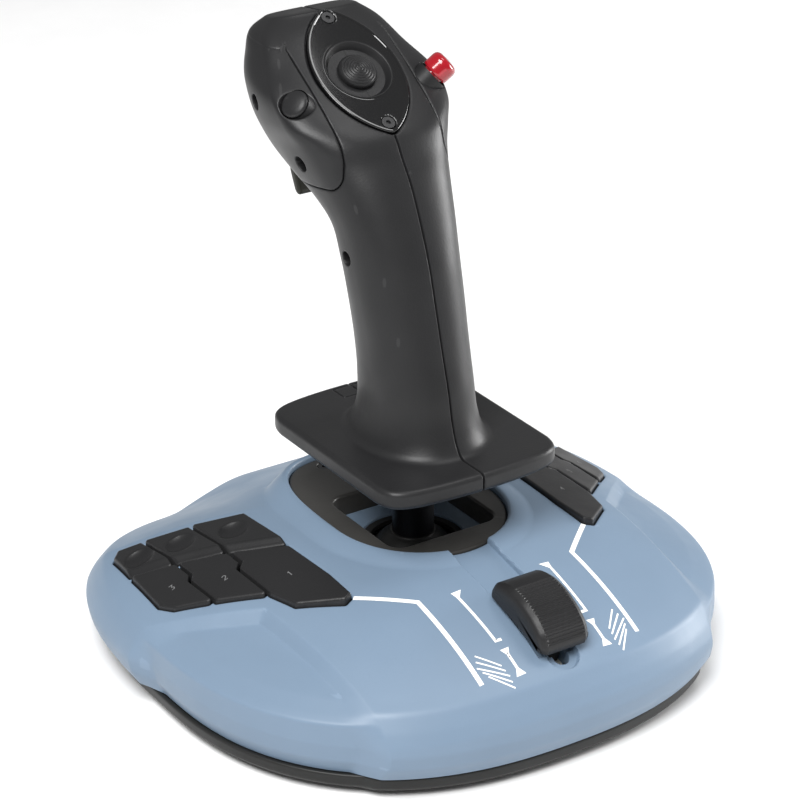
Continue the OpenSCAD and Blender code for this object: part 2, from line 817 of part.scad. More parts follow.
module side_panel() {
    difference() {
        union() {
            difference() {
                half_loft(grip_rings);
                half_loft(cavity_rings);
            }
            intersection() {
                half_loft(grip_rings);
                union() {
                    on_button() translate([0, 0, -9]) cylinder(r = 7.6, h = 8.4);
                    for (p = panel_screw_at)
                        rod_x(15, 40, p[0], p[1], 3.6);
                }
            }
        }
        difference() {
            translate([-5, -60, 60]) cube([80, 200, 200]);
            along_x(spine_w + panel_gap / 2, 60) offset(delta = -panel_gap / 2) polygon(panel_line);
        }
        on_hat() {
            translate([0, 0, -plate_down]) linear_extrude(20) hat_leaf(0.3);
            translate([0, 0, -12]) cylinder(r = cup_r + 0.3, h = 20);
        }
        on_button() {
            translate([0, 0, -20]) cylinder(r = button_bore, h = 30);
            translate([0, 0, -0.6]) cylinder(r = 6.6, h = 10);
        }
        for (p = panel_screw_at) {
            rod_x(10, 40, p[0], p[1], 1.4);
            rod_x(20, 60, p[0], p[1], 2.6);
        }
    }
}

module side_panel_right() {
    color(black) side_panel();
}

module side_panel_left() {
    color(black) mirror([1, 0, 0]) side_panel();
}

module side_panel_screws() {
    color(steel) for (s = [-1, 1]) for (p = panel_screw_at)
        difference() {
            union() {
                rod_x(s > 0 ? 20 : -21.6, s > 0 ? 21.6 : -20, p[0], p[1], 2.3);
                rod_x(s > 0 ? 9 : -20.2, s > 0 ? 20.2 : -9, p[0], p[1], 1.3);
            }
            rod_x(s > 0 ? 20.8 : -24, s > 0 ? 24 : -20.8, p[0], p[1], 1);
        }
}

module lower_twist_bush() {
    color([0.85, 0.84, 0.8]) translate([0, 0, rest_z - rest_t + 0.2]) tube(bush_out, shaft_r + run_fit, 8);
}

module upper_twist_bush() {
    color([0.85, 0.84, 0.8]) translate([0, 0, rib_z]) tube(8.5, core_r + run_fit, rib_h);
}

module twist_spring() {
    color(steel) translate([0, 0, 93.4]) coil(9.6, 0.8, 2.4, 4);
}

module twist_potentiometer() {
    color([0.16, 0.28, 0.5]) difference() {
        translate([-8, -8, 114]) cube([16, 16, 7]);
        translate([0, 0, 110]) cylinder(r = tip_r + run_fit, h = 8.6);
    }
}

// ---------- hat ----------

module hat_plate() {
    color([0.08, 0.08, 0.085]) on_hat() difference() {
        union() {
            translate([0, 0, -plate_down]) linear_extrude(plate_up + plate_down) hat_leaf(0);
            translate([0, 0, -cup_foot]) cylinder(r = cup_r, h = cup_foot);
        }
        rotate_extrude() polygon([[0, 4], [dish_r + 0.4, 4], [dish_r + 0.4, plate_up], [dish_r - 1, -1.2],
            [8.6, -2.8], [6.9, -3.8], [5, -dish_floor], [0, -dish_floor]]);
        translate([0, 0, -20]) cylinder(r = 3.6, h = 30);
        for (y = hat_screws_at)
            translate([0, y, 0]) {
                translate([0, 0, -5]) cylinder(r = 1.3, h = 10);
                translate([0, 0, -0.5]) cylinder(r = 2.4, h = 5);
            }
    }
}

module hat_plate_screws() {
    color(steel) on_hat() for (y = hat_screws_at)
        translate([0, y, 0]) difference() {
            union() {
                translate([0, 0, -0.5]) cylinder(r = 2.2, h = 1);
                translate([0, 0, -4]) cylinder(r = 1.1, h = 3.6);
            }
            translate([0, 0, -0.1]) cylinder(r = 0.9, h = 2, $fn = 6);
        }
}

module hat_switch() {
    color(dark) on_hat() translate([0, 0, -hat_pivot]) {
        translate([-6.5, -6.5, -6.4]) cube([13, 13, 4.4]);
        translate([-7.4, -7.4, -8]) cube([14.8, 14.8, 1.6]);
    }
}

module hat_rocker() {
    color([0.85, 0.84, 0.8]) on_hat() translate([0, 0, -hat_pivot - 0.7]) tube(4.4, 2.25, 1.4);
}

module hat_cap() {
    color(black) on_hat() {
        translate([0, 0, -hat_pivot - 0.6]) cylinder(r = 1.9, h = 6.6);
        rotate_extrude() polygon([[0, -2.6], [5.6, -2.6], [6.5, -1.4], [6.5, -0.2], [6, 0.8], [4.4, 1.5],
            [2.4, 1.9], [0, 2]]);
    }
}

// ---------- head buttons and trigger ----------

module red_head_button() {
    color([0.78, 0.08, 0.2]) on_button() {
        translate([0, 0, -7]) cylinder(r = 3.6, h = 7.5);
        rotate_extrude() polygon([[0, 0.4], [button_r, 0.4], [button_r, 5.2], [button_r - 0.3, 5.9],
            [button_r - 1.2, 6.4], [0, 6.7]]);
    }
}

module left_head_button() {
    color(black) mirror([1, 0, 0]) on_button() {
        translate([0, 0, -7]) cylinder(r = 3.6, h = 5);
        rotate_extrude() polygon([[0, -2.4], [button_r, -2.4], [button_r, -0.2], [button_r - 1, 0.5],
            [button_r - 2.6, 0.9], [0, 1.1]]);
    }
}

module trigger() {
    color([0.23, 0.23, 0.21]) along_x(-trigger_w / 2, trigger_w / 2) difference() {
        union() {
            translate(trigger_pivot) circle(r = 4.6);
            polygon([[57.2, 176], [57.2, 170.6], [59.6, 170.6], [60.4, 172.2], [66, 169.6], [69.4, 164],
                [70.6, 157], [69.4, 149], [66.4, 141], [68, 139.6], [70, 140.6], [73.6, 148],
                [75.6, 158], [74.6, 167], [70.4, 174.6], [65.2, 178.6]]);
        }
        translate(trigger_pivot) circle(r = trigger_pin_r + run_fit);
    }
}

module trigger_pin() {
    color(steel) rod_x(-10, 10, trigger_pivot[0], trigger_pivot[1], trigger_pin_r);
}

module trigger_switch() {
    color(dark) {
        translate([-5.2, 49.5, 166]) cube([10.4, 5.4, 12]);
        translate([-1.2, 54.9, 170]) cube([2.4, 0.9, 2.4]);
    }
}

// ---------- node switch ----------

base_top_shell();
base_bottom_shell();
ballast_plate();
rubber_feet();
case_screws();
main_board();
inlet_plate();
cable_gland();
gimbal_cover();
gimbal_cover_screws();
gate_funnel();
ball_collar();
gimbal_frame();
pitch_springs();
hall_sensor_board();
gimbal_ring();
roll_springs();
stick_ball();
stick_shaft();
sensor_magnet();
shaft_snap_ring();
grip_shell_left();
grip_shell_right();
grip_screws();
lower_twist_bush();
upper_twist_bush();
twist_spring();
twist_potentiometer();
side_panel_left();
side_panel_right();
side_panel_screws();
hat_plate();
hat_plate_screws();
hat_switch();
hat_rocker();
hat_cap();
left_head_button();
red_head_button();
trigger();
trigger_pin();
trigger_switch();
slider_knob();
slider_carriage();
slide_potentiometer();
left_button_board();
right_button_board();
left_dome_mat();
right_dome_mat();
mirror([1, 0, 0]) button_cap(0);  // left_button_1
mirror([1, 0, 0]) button_cap(1);  // left_button_2
mirror([1, 0, 0]) button_cap(2);  // left_button_3
mirror([1, 0, 0]) button_cap(3);  // left_button_4
mirror([1, 0, 0]) button_cap(4);  // left_button_5
mirror([1, 0, 0]) button_cap(5);  // left_button_6
button_cap(0);  // right_button_1
button_cap(1);  // right_button_2
button_cap(2);  // right_button_3
button_cap(3);  // right_button_4
button_cap(4);  // right_button_5
button_cap(5);  // right_button_6
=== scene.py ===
import math

import bpy
import numpy as np
from mathutils import Matrix, Vector
from mathutils.bvhtree import BVHTree
from mathutils.geometry import tessellate_polygon


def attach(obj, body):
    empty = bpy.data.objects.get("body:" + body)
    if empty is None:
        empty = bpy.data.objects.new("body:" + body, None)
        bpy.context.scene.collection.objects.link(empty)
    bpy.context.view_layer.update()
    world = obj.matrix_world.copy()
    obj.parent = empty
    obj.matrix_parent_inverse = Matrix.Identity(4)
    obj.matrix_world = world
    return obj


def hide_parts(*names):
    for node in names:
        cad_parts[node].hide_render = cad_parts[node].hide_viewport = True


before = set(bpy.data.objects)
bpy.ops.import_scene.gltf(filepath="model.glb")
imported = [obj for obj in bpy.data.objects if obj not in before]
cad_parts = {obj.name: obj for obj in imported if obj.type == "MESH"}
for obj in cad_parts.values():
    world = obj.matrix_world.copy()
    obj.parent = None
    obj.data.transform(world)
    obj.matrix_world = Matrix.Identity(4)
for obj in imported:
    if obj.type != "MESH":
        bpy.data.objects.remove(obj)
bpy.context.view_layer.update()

MM = 0.001
TAU = 2 * math.pi
QUARTER = math.pi / 2


# ---------- materials ----------

CLOUD_SCALE, SHEEN_SCALE = 28, 70
BUMP_DEPTH = 0.00012
COAT_ROUGH = 0.06


def material(name, color, rough, grain=900, bump=0.25, vary=0.08, wear_and_highlight=0.12, metallic=0.0, coat=0.0,
             spec=0.5, wear_and_highlight_color=None):
    """Moulded or machined surface: cloudy colour and roughness, fine grain bump, paler edges that are partly
    wear and partly a painted highlight.
    """
    mat = bpy.data.materials.new(name)
    mat.use_nodes = True
    nodes, links = mat.node_tree.nodes, mat.node_tree.links
    bsdf = nodes["Principled BSDF"]
    bsdf.inputs["Metallic"].default_value = metallic
    bsdf.inputs["Coat Weight"].default_value = coat
    bsdf.inputs["Coat Roughness"].default_value = COAT_ROUGH
    bsdf.inputs["Specular IOR Level"].default_value = spec
    place = nodes.new("ShaderNodeTexCoord")

    def noise(scale, detail):
        n = nodes.new("ShaderNodeTexNoise")
        n.inputs["Scale"].default_value = scale
        n.inputs["Detail"].default_value = detail
        links.new(place.outputs["Object"], n.inputs["Vector"])
        return n.outputs["Fac"]

    def ramp(value, a, b, out_a, out_b):
        n = nodes.new("ShaderNodeMapRange")
        n.inputs["From Min"].default_value = a
        n.inputs["From Max"].default_value = b
        n.inputs["To Min"].default_value = out_a
        n.inputs["To Max"].default_value = out_b
        links.new(value, n.inputs["Value"])
        return n.outputs["Result"]

    def mix(factor, a, b, kind="MIX"):
        n = nodes.new("ShaderNodeMix")
        n.data_type = "RGBA"
        n.blend_type = kind
        links.new(factor, n.inputs["Factor"])
        for socket, value in ((n.inputs[6], a), (n.inputs[7], b)):
            if isinstance(value, (tuple, list)):
                socket.default_value = (*value, 1)
            else:
                links.new(value, socket)
        return n.outputs[2]

    dark = tuple(c * (1 - vary) for c in color)
    light = tuple(min(1, c * (1 + vary)) for c in color)
    base = mix(ramp(noise(CLOUD_SCALE, 3), 0.35, 0.65, 0, 1), dark, light)
    speck = tuple(c * (1 - vary * 0.7) for c in color)
    base = mix(ramp(noise(grain * 0.7, 2), 0.5, 0.75, 0, 0.5), base, speck)
    # paler colour on sharp edges, chosen by pointiness: partly wear, partly a painted highlight along the
    # rims
    edge = nodes.new("ShaderNodeNewGeometry").outputs["Pointiness"]
    wear_and_highlight_tint = wear_and_highlight_color or tuple(min(1, c * 1.5 + 0.03) for c in color)
    base = mix(ramp(edge, 0.522, 0.57, 0, wear_and_highlight), base, wear_and_highlight_tint)
    links.new(base, bsdf.inputs["Base Color"])
    links.new(ramp(noise(SHEEN_SCALE, 4), 0.3, 0.7, rough * 0.88, rough * 1.12), bsdf.inputs["Roughness"])
    if bump:
        node = nodes.new("ShaderNodeBump")
        node.inputs["Strength"].default_value = bump
        node.inputs["Distance"].default_value = BUMP_DEPTH
        links.new(noise(grain, 3), node.inputs["Height"])
        links.new(node.outputs["Normal"], bsdf.inputs["Normal"])
    return mat


def srgb(r, g, b):
    return tuple(((c / 255 + 0.055) / 1.055) ** 2.4 for c in (r, g, b))


LOOKS = {}


def look(name, rgb, *args, wear_and_highlight_rgb=None, **kw):
    """Adds a look; its colours are given as screen values. The arguments are those of material()."""
    LOOKS[name] = material(name, srgb(*rgb), *args, wear_and_highlight_color=wear_and_highlight_rgb and srgb(*wear_and_highlight_rgb), **kw)


# base_blue's pale edge colour is partly wear and partly a painted highlight along its panel rims
look("base_blue", (113, 132, 152), 0.42, 1400, 0.12, 0.025, 0.14, wear_and_highlight_rgb=(160, 180, 204), spec=0.35)
look("black_plastic", (31, 31, 32), 0.4, 1500, 0.3, 0.06, 0.3, spec=0.3)
look("shell_black", (30, 30, 29), 0.45, 1500, 0.3, 0.08, 0.3, spec=0.3)
look("cover_grey", (54, 53, 51), 0.38, 1500, 0.25, 0.05, 0.3, spec=0.35)
look("gloss_black", (14, 14, 15), 0.03, 400, 0.0, 0.05, 0.1, coat=0.3)
look("red_gloss", (150, 0, 22), 0.16, 500, 0.03, 0.05, 0.15, coat=0.5, wear_and_highlight_rgb=(230, 60, 80))
look("trigger_olive", (42, 42, 36), 0.42, 1300, 0.3, 0.08, 0.3, spec=0.3)
look("steel", (200, 202, 205), 0.28, 2200, 0.15, 0.05, 0.2, 1.0)
look("screw_black", (20, 20, 22), 0.33, 2000, 0.2, 0.1, 0.4, spec=0.35)
look("zinc", (150, 152, 156), 0.45, 1500, 0.35, 0.08, 0.2, 0.9)
look("feet_rubber", (38, 38, 38), 0.75, 1200, 0.5, 0.1, 0.1)
look("gland_rubber", (42, 42, 42), 0.7, 1200, 0.4, 0.1, 0.1)
look("board_green", (24, 88, 55), 0.35, 700, 0.2, 0.1, 0.1)
look("silicone", (196, 196, 188), 0.5, 900, 0.2, 0.05, 0.05)
look("nylon", (225, 222, 210), 0.5, 900, 0.2, 0.04, 0.05)
look("switch_black", (26, 26, 27), 0.45, 1200, 0.3, 0.06, 0.2, spec=0.3)
look("pot_blue", (60, 90, 150), 0.4, 1000, 0.2, 0.06, 0.1)
look("magnet", (205, 207, 210), 0.15, 1000, 0.05, 0.03, 0.1, 1.0)
look("print_white", (244, 244, 240), 0.5, 2500, 0.1, 0.03, 0.0)
look("print_grey", (105, 105, 106), 0.5, 2500, 0.1, 0.03, 0.0)
# a black that paints the shade in the key pockets of the base
look("painted_pocket_shade", (14, 14, 15), 0.6, 900, 0.1, 0.05, 0.0)
FLOOR = material("floor", (0.93, 0.93, 0.93), 0.8, 300, 0.05, 0.01, 0.0, spec=0.1)


# ---------- mesh tools (all lengths in millimetres) ----------

def unit(v):
    v = np.asarray(v, float)
    return v / np.linalg.norm(v, axis=-1, keepdims=True)


def weld(points, tris, grain=1e-3):
    cells = np.round(points / grain).astype(np.int64)
    _, first, inverse = np.unique(cells, axis=0, return_index=True, return_inverse=True)
    tris = inverse.reshape(-1)[tris]
    good = (tris[:, 0] != tris[:, 1]) & (tris[:, 1] != tris[:, 2]) & (tris[:, 2] != tris[:, 0])
    return first, tris[good]


def used_only(points, tris):
    used = np.unique(tris)
    index = np.full(len(points), -1)
    index[used] = np.arange(len(used))
    return used, index[tris]


def vertex_normals(points, tris):
    a, b, c = (points[tris[:, k]] for k in range(3))
    face = np.cross(b - a, c - a)
    out = np.zeros_like(points)
    for k in range(3):
        np.add.at(out, tris[:, k], face)
    return out / np.maximum(np.linalg.norm(out, axis=1, keepdims=True), 1e-12)


def grid_tris(nu, nv):
    i = (np.arange(nu - 1)[:, None] * nv + np.arange(nv - 1)[None, :]).reshape(-1)
    return np.concatenate([np.stack([i, i + nv, i + nv + 1], 1), np.stack([i, i + nv + 1, i + 1], 1)])


def piece(name, points, tris, looks, body, nodes=(), slot=None, sharp=38, face_look=None):
    """A shaded mesh object that rides on a body and stands for the CAD nodes given.

    looks is a name in LOOKS, or several of them for face_look to choose from by face middle."""
    first, tris = weld(points, tris)
    points = points[first]
    used, tris = used_only(points, tris)
    points = points[used]
    mesh = bpy.data.meshes.new(name)
    mesh.from_pydata((points * MM).tolist(), [], tris.tolist())
    for look_name in [looks] if isinstance(looks, str) else looks:
        mesh.materials.append(LOOKS[look_name])
    mesh.polygons.foreach_set("use_smooth", np.ones(len(mesh.polygons), bool))
    if face_look is not None:
        middle = points[tris].mean(1)
        mesh.polygons.foreach_set("material_index", face_look(middle).astype(np.int32))
    mesh.update()
    mesh.set_sharp_from_angle(angle=math.radians(sharp))
    obj = bpy.data.objects.new(name, mesh)
    bpy.context.scene.collection.objects.link(obj)
    even_out = obj.modifiers.new("shading", "WEIGHTED_NORMAL")
    even_out.keep_sharp = True
    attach(obj, body)
    if nodes:
        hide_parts(*nodes)
    return obj


def grid_piece(name, grid, *args, flip=False, **kw):
    tris = grid_tris(*grid.shape[:2])
    if flip:
        tris = tris[:, ::-1]
    return piece(name, grid.reshape(-1, 3), tris, *args, **kw)


class Skin:
    """A sheet on a grid of points. Iso-lines of a field are cut into it before its points are moved."""

    snap = 0.012   # a point nearer than this to an iso-line counts as on it

    def __init__(self, grid, other=None, flip=False):
        self.grid, self.other = grid, other
        nu, nv = grid.shape[:2]
        both = np.meshgrid(np.arange(nu), np.arange(nv), indexing="ij")
        self.uv = np.stack(both, -1).reshape(-1, 2) * 1.0
        self.tri = grid_tris(nu, nv)
        if flip:
            self.tri = self.tri[:, ::-1]

    def at(self, uv, grid=None):
        grid = self.grid if grid is None else grid
        i = np.clip(uv[:, 0].astype(int), 0, grid.shape[0] - 2)
        j = np.clip(uv[:, 1].astype(int), 0, grid.shape[1] - 2)
        a, b = (uv[:, 0] - i)[:, None], (uv[:, 1] - j)[:, None]
        return ((1 - a) * (1 - b) * grid[i, j] + a * (1 - b) * grid[i + 1, j]
                + (1 - a) * b * grid[i, j + 1] + a * b * grid[i + 1, j + 1])

    def cut(self, field, *levels):
        for level in levels:
            d = field(self.at(self.uv)) - level
            d[np.abs(d) < self.snap] = 0
            side = np.sign(d).astype(int)
            t = self.tri
            pairs = np.sort(t[:, [[0, 1], [1, 2], [2, 0]]], axis=2)
            cross = side[pairs[..., 0]] * side[pairs[..., 1]] < 0
            if not cross.any():
                continue
            edges, inverse = np.unique(pairs[cross], axis=0, return_inverse=True)
            a, b = self.uv[edges[:, 0]], self.uv[edges[:, 1]]
            low, high = np.zeros(len(edges)), np.ones(len(edges))
            start = side[edges[:, 0]]
            for _ in range(11):
                mid = (low + high) / 2
                same = np.sign(field(self.at(a + (b - a) * mid[:, None])) - level) == start
                low, high = np.where(same, mid, low), np.where(same, high, mid)
            index = np.full(cross.shape, -1)
            index[cross] = len(self.uv) + inverse.reshape(-1)
            self.uv = np.vstack([self.uv, a + (b - a) * ((low + high) / 2)[:, None]])
            count = cross.sum(1)
            parts = [t[count == 0]]
            for k in range(3):
                n, m = (k + 1) % 3, (k + 2) % 3
                two = (count == 2) & cross[:, k] & cross[:, m]
                p, q = index[two, k], index[two, m]
                parts += [np.stack([t[two, k], p, q], 1), np.stack([p, t[two, n], t[two, m]], 1),
                          np.stack([p, t[two, m], q], 1)]
                one = (count == 1) & cross[:, k]
                p = index[one, k]
                parts += [np.stack([t[one, k], p, t[one, m]], 1), np.stack([p, t[one, n], t[one, m]], 1)]
            self.tri = np.vstack(parts)

    def mesh(self, keep=None):
        """Points, triangles, normals and the second grid's points, welded.

        keep picks triangles by their middle."""
        points = self.at(self.uv)
        tris = self.tri
        if keep is not None:
            tris = tris[keep(points[tris].mean(1))]
        first, tris = weld(points, tris)
        other = self.at(self.uv, self.other)[first] if self.other is not None else None
        points = points[first]
        return points, tris, vertex_normals(points, tris), other


def sd_polygon(p, poly):
    """Signed distance in the plane to a closed outline, negative inside."""
    poly = np.asarray(poly, float)
    best = np.full(len(p), 1e9)
    inside = np.zeros(len(p), bool)
    for a, b in zip(poly, np.roll(poly, -1, 0)):
        e, w = b - a, p - a
        t = np.clip((w @ e) / (e @ e), 0, 1)
        best = np.minimum(best, np.hypot(*(w - t[:, None] * e).T))
        hit = ((a[1] > p[:, 1]) != (b[1] > p[:, 1]))
        inside ^= hit & (p[:, 0] < (b[0] - a[0]) * (p[:, 1] - a[1]) / (b[1] - a[1] + 1e-30) + a[0])
    return np.where(inside, -best, best)


def inset(poly, r):
    """The outline with every edge moved inwards by r."""
    poly = np.asarray(poly, float)
    area = np.sum(poly[:, 0] * np.roll(poly[:, 1], -1) - poly[:, 1] * np.roll(poly[:, 0], -1))
    sign = 1 if area > 0 else -1
    out = []
    for p, q, s in zip(np.roll(poly, 1, 0), poly, np.roll(poly, -1, 0)):
        d1, d2 = unit(q - p), unit(s - q)
        n1, n2 = sign * np.array([-d1[1], d1[0]]), sign * np.array([-d2[1], d2[0]])
        out.append(q + r * (n1 + n2) / max(0.3, 1 + n1 @ n2))
    return np.array(out)


def soft_ramp(x, width, soft):
    """0 below 0, 1 above width, straight between with rounded ends."""
    x = np.clip(x, 0, width)
    k = 1 / (width - soft)
    return np.where(x < soft, k * x * x / (2 * soft),
                    np.where(x > width - soft, 1 - k * (width - x) ** 2 / (2 * soft), k * (x - soft / 2)))


def round_over(x, r):
    """How far a rounded edge of radius r has dropped at x from the side: r at x 0, 0 beyond r."""
    x = np.clip(x, 0, r)
    return r - np.sqrt(np.maximum(r * r - (r - x) ** 2, 0))


def smooth_rows(rows, sigma):
    """Smooths an evenly spaced polyline, keeping its ends."""
    n = max(1, int(3 * sigma))
    kernel = np.exp(-0.5 * (np.arange(-n, n + 1) / sigma) ** 2)
    kernel /= kernel.sum()
    padded = np.concatenate([2 * rows[:1] - rows[n:0:-1], rows, 2 * rows[-1:] - rows[-2:-n - 2:-1]])
    return np.stack([np.convolve(padded[:, k], kernel, "valid") for k in range(rows.shape[1])], 1)


def even(rows, count, closed=False):
    """Resamples a polyline to count points evenly along its length."""
    rows = np.asarray(rows, float)
    if closed:
        rows = np.vstack([rows, rows[:1]])
    s = np.concatenate([[0], np.cumsum(np.linalg.norm(np.diff(rows, axis=0), axis=1))])
    q = np.linspace(0, s[-1], count)
    return np.stack([np.interp(q, s, rows[:, k]) for k in range(rows.shape[1])], 1)


def revolve(name, profile, steps, to_world, *args, **kw):
    """A profile of (radius, height) turned about its own axis; to_world maps local points."""
    profile = np.asarray(profile, float)
    a = np.linspace(0, TAU, steps + 1)
    grid = np.stack([profile[None, :, 0] * np.cos(a)[:, None], profile[None, :, 0] * np.sin(a)[:, None],
                     np.repeat(profile[None, :, 1], steps + 1, 0)], -1)
    shape = grid.shape
    return grid_piece(name, to_world(grid.reshape(-1, 3)).reshape(shape), *args, **kw)


def rounded_profile(points, r=0.5, steps=4):
    """Rounds the corners of an open polyline."""
    p = np.asarray(points, float)
    out = [p[0]]
    for a, b, c in zip(p[:-2], p[1:-1], p[2:]):
        la, lc = np.linalg.norm(a - b), np.linalg.norm(c - b)
        q = min(r, 0.45 * la, 0.45 * lc)
        s, e = b + (a - b) / la * q, b + (c - b) / lc * q
        for t in np.linspace(0, 1, steps + 1):
            out.append((1 - t) ** 2 * s + 2 * t * (1 - t) * b + t * t * e)
    out.append(p[-1])
    return np.array(out)


def around(line, t):
    """A line of (radius, height) set upright at the angle t."""
    return np.stack([line[:, 0] * math.cos(t), line[:, 0] * math.sin(t), line[:, 1]], 1)


def frame_of(origin, x, y, z):
    """Two maps: from the part's frame to a local one, and back."""
    m = np.stack([x, y, z], 1).astype(float)
    o = np.asarray(origin, float)
    return (lambda p: (p - o) @ m), (lambda q: q @ m.T + o)


def tilted(origin, degrees):
    """frame_of a frame turned about x."""
    c, s = math.cos(math.radians(degrees)), math.sin(math.radians(degrees))
    return frame_of(origin, (1, 0, 0), (0, c, s), (0, -s, c))


# ---------- base ----------

HALF_W, FRONT, BACK, DOME_Z, RIM_Z = 101.8, 96.9, 95.4, 51.0, 25.5


def outline_r(t):
    c, s = np.abs(np.cos(t)), np.abs(np.sin(t))
    n = np.where(np.sin(t) < 0, 2.4, 3.0)
    b = np.where(np.sin(t) < 0, FRONT, BACK)
    return ((c / HALF_W) ** n + (s / b) ** n) ** (-1 / n)


def edge_z(t):
    return RIM_Z + 3 * np.maximum(0, -np.sin(t)) ** 6


def dome_at(t, f):
    fall = 2.35 + np.where(np.sin(t) < 0, 0.6, -0.35) * np.sin(t) ** 2
    return DOME_Z - (DOME_Z - edge_z(t)) * f ** fall


def dome(x, y):
    t = np.arctan2(y, x)
    return dome_at(t, np.minimum(1, np.hypot(x, y) / outline_r(t)))


# base keys on the right: outline, centre, and whether the key is dimpled
CAPS = [
    ([(46, 4.5), (61, 17), (61, 42), (46, 32.5)], (54, 26), True),
    ([(61.8, 17.7), (74.5, 28), (74.5, 50.5), (61.8, 42.5)], (68.5, 36), True),
    ([(75.3, 28.7), (86.6, 38), (84.8, 53), (82, 55.5), (75.3, 51)], (80.5, 43), True),
    ([(46, 3.5), (60.8, 15.7), (60.8, 8.6), (63.2, 6.2), (63.2, -13.6), (60.5, -24.5), (48.6, -34.8),
      (45.6, -33.6), (45, -20)], (54, -8), False),
    ([(61.8, 16.6), (74.4, 26.9), (74.4, 18), (76.2, 15.6), (76.2, -1), (64, -12.8), (64, 6.7),
      (61.8, 9)], (69, 8), False),
    ([(75.3, 27.7), (86.8, 37.1), (88.6, 15), (86.2, 8.8), (77, -0.3), (77, 15.9), (75.3, 18.3)],
     (82, 20), False)]
CAP_ROUND = 0.7
CAP_CORES = [inset(c[0], CAP_ROUND) for c in CAPS]
RECESS = np.array([(112, 14.5), (96, 13), (67, -17), (62, -86), (60, -115), (115, -115)])
RECESS_ROUND = 2.0
RECESS_CORE = inset(RECESS, RECESS_ROUND)
SLIDE_Y, SLIDE_Z, SLIDE_TILT = -69.5, 40, 19.3
to_slide, from_slide = tilted((0, SLIDE_Y, SLIDE_Z), SLIDE_TILT)
COVER = dict(half=30.0, front=33.0, back=49.0)
BEZEL_TOP = 51.3
TOP_SIDE = 20   # the cuts in the top are made only above this height
KEY_GAP, POCKET_DEPTH = 0.45, 5.6


def mirrored(p):
    return np.stack([np.abs(p[:, 0]), p[:, 1]], 1)


def cover_distance(p):
    x, y = np.abs(p[:, 0]), p[:, 1]
    n = np.where(y < 0, 2.1, 3.3)
    b = np.where(y < 0, COVER["front"], COVER["back"])
    u, v = x / COVER["half"], np.abs(y) / b
    g = (u ** n + v ** n) ** (1 / n) + 1e-9
    slope = np.hypot((u / g) ** (n - 1) / COVER["half"], (v / g) ** (n - 1) / b)
    return (g - 1) / np.maximum(slope, 1e-6)


def key_distance(p):
    q = mirrored(p)
    return np.min([sd_polygon(q, c) - CAP_ROUND for c in CAP_CORES], 0)


def recess_distance(p):
    return sd_polygon(mirrored(p), RECESS_CORE) - RECESS_ROUND


def slot_distance(p):
    q = to_slide(p)
    y = np.clip(q[:, 1], -15.5, 10)
    return np.hypot(q[:, 0], q[:, 1] - y)


def ramp_side(p):
    return np.abs(p[:, 0]) + 3 * np.maximum(0, p[:, 1] + 29) + 3 * np.maximum(0, -88 - p[:, 1])


def key_ridge(p):
    """Distance behind the line that runs just behind the key groups."""
    q = mirrored(p)
    return (q[:, 0] - 46) * -0.539 + (q[:, 1] - 32.5) * 0.843 - 4.6


def base_grids():
    """The outer sheet of the base, and the sheet that its corner panels sink to."""
    cut_dome, rim = 78, 52
    soft, crisp = [], []
    f = np.linspace(0.22, 0.88, 60)
    for t in np.linspace(0, TAU, 361):
        r, e = outline_r(t), edge_z(t)
        front = max(0.0, -math.sin(t)) ** 3
        outer = np.array([(r * k, dome_at(t, k)) for k in f] +
                         [(r * .94, dome_at(t, .94)), (r * .975, e - 1.5), (r * .994, e - 5.5), (r, 18),
                          (r * .99, 13), (r * .961, 8)])
        inner = np.array([(r * k, dome_at(t, k) - 3.2 + 1.2 * max(0, (k - 0.76) / 0.12)) for k in f] +
                         [(r * .94 - 0.8, dome_at(t, .94) - 1.5),
                          (r * .972 - 1.8, dome_at(t, .972) - 1.0),
                          (r * .985 - 2.9, 19), (r * .976 - 3.0, 13), (r * .953 - 3.0, 8)])
        for rows, out, sigma in ((outer, soft, 1.2 - 0.6 * front), (inner, crisp, 0.5)):
            fine = smooth_rows(even(rows, 420), sigma * 420 / 110)
            s = np.concatenate([[0], np.cumsum(np.hypot(*np.diff(fine, axis=0).T))])
            knee = np.interp(r * 0.88, fine[:300, 0], s[:300])
            q = np.concatenate([np.linspace(0, knee, cut_dome, endpoint=False),
                                np.linspace(knee, s[-1], rim)])
            line = np.stack([np.interp(q, s, fine[:, 0]), np.interp(q, s, fine[:, 1])], 1)
            foot = line[-1]
            lip = np.array([(foot[0] - 2.3, foot[1]), (foot[0] - 2.3, foot[1] + 4)])
            out.append(around(np.vstack([line, lip]), t))
    return np.array(soft), np.array(crisp)


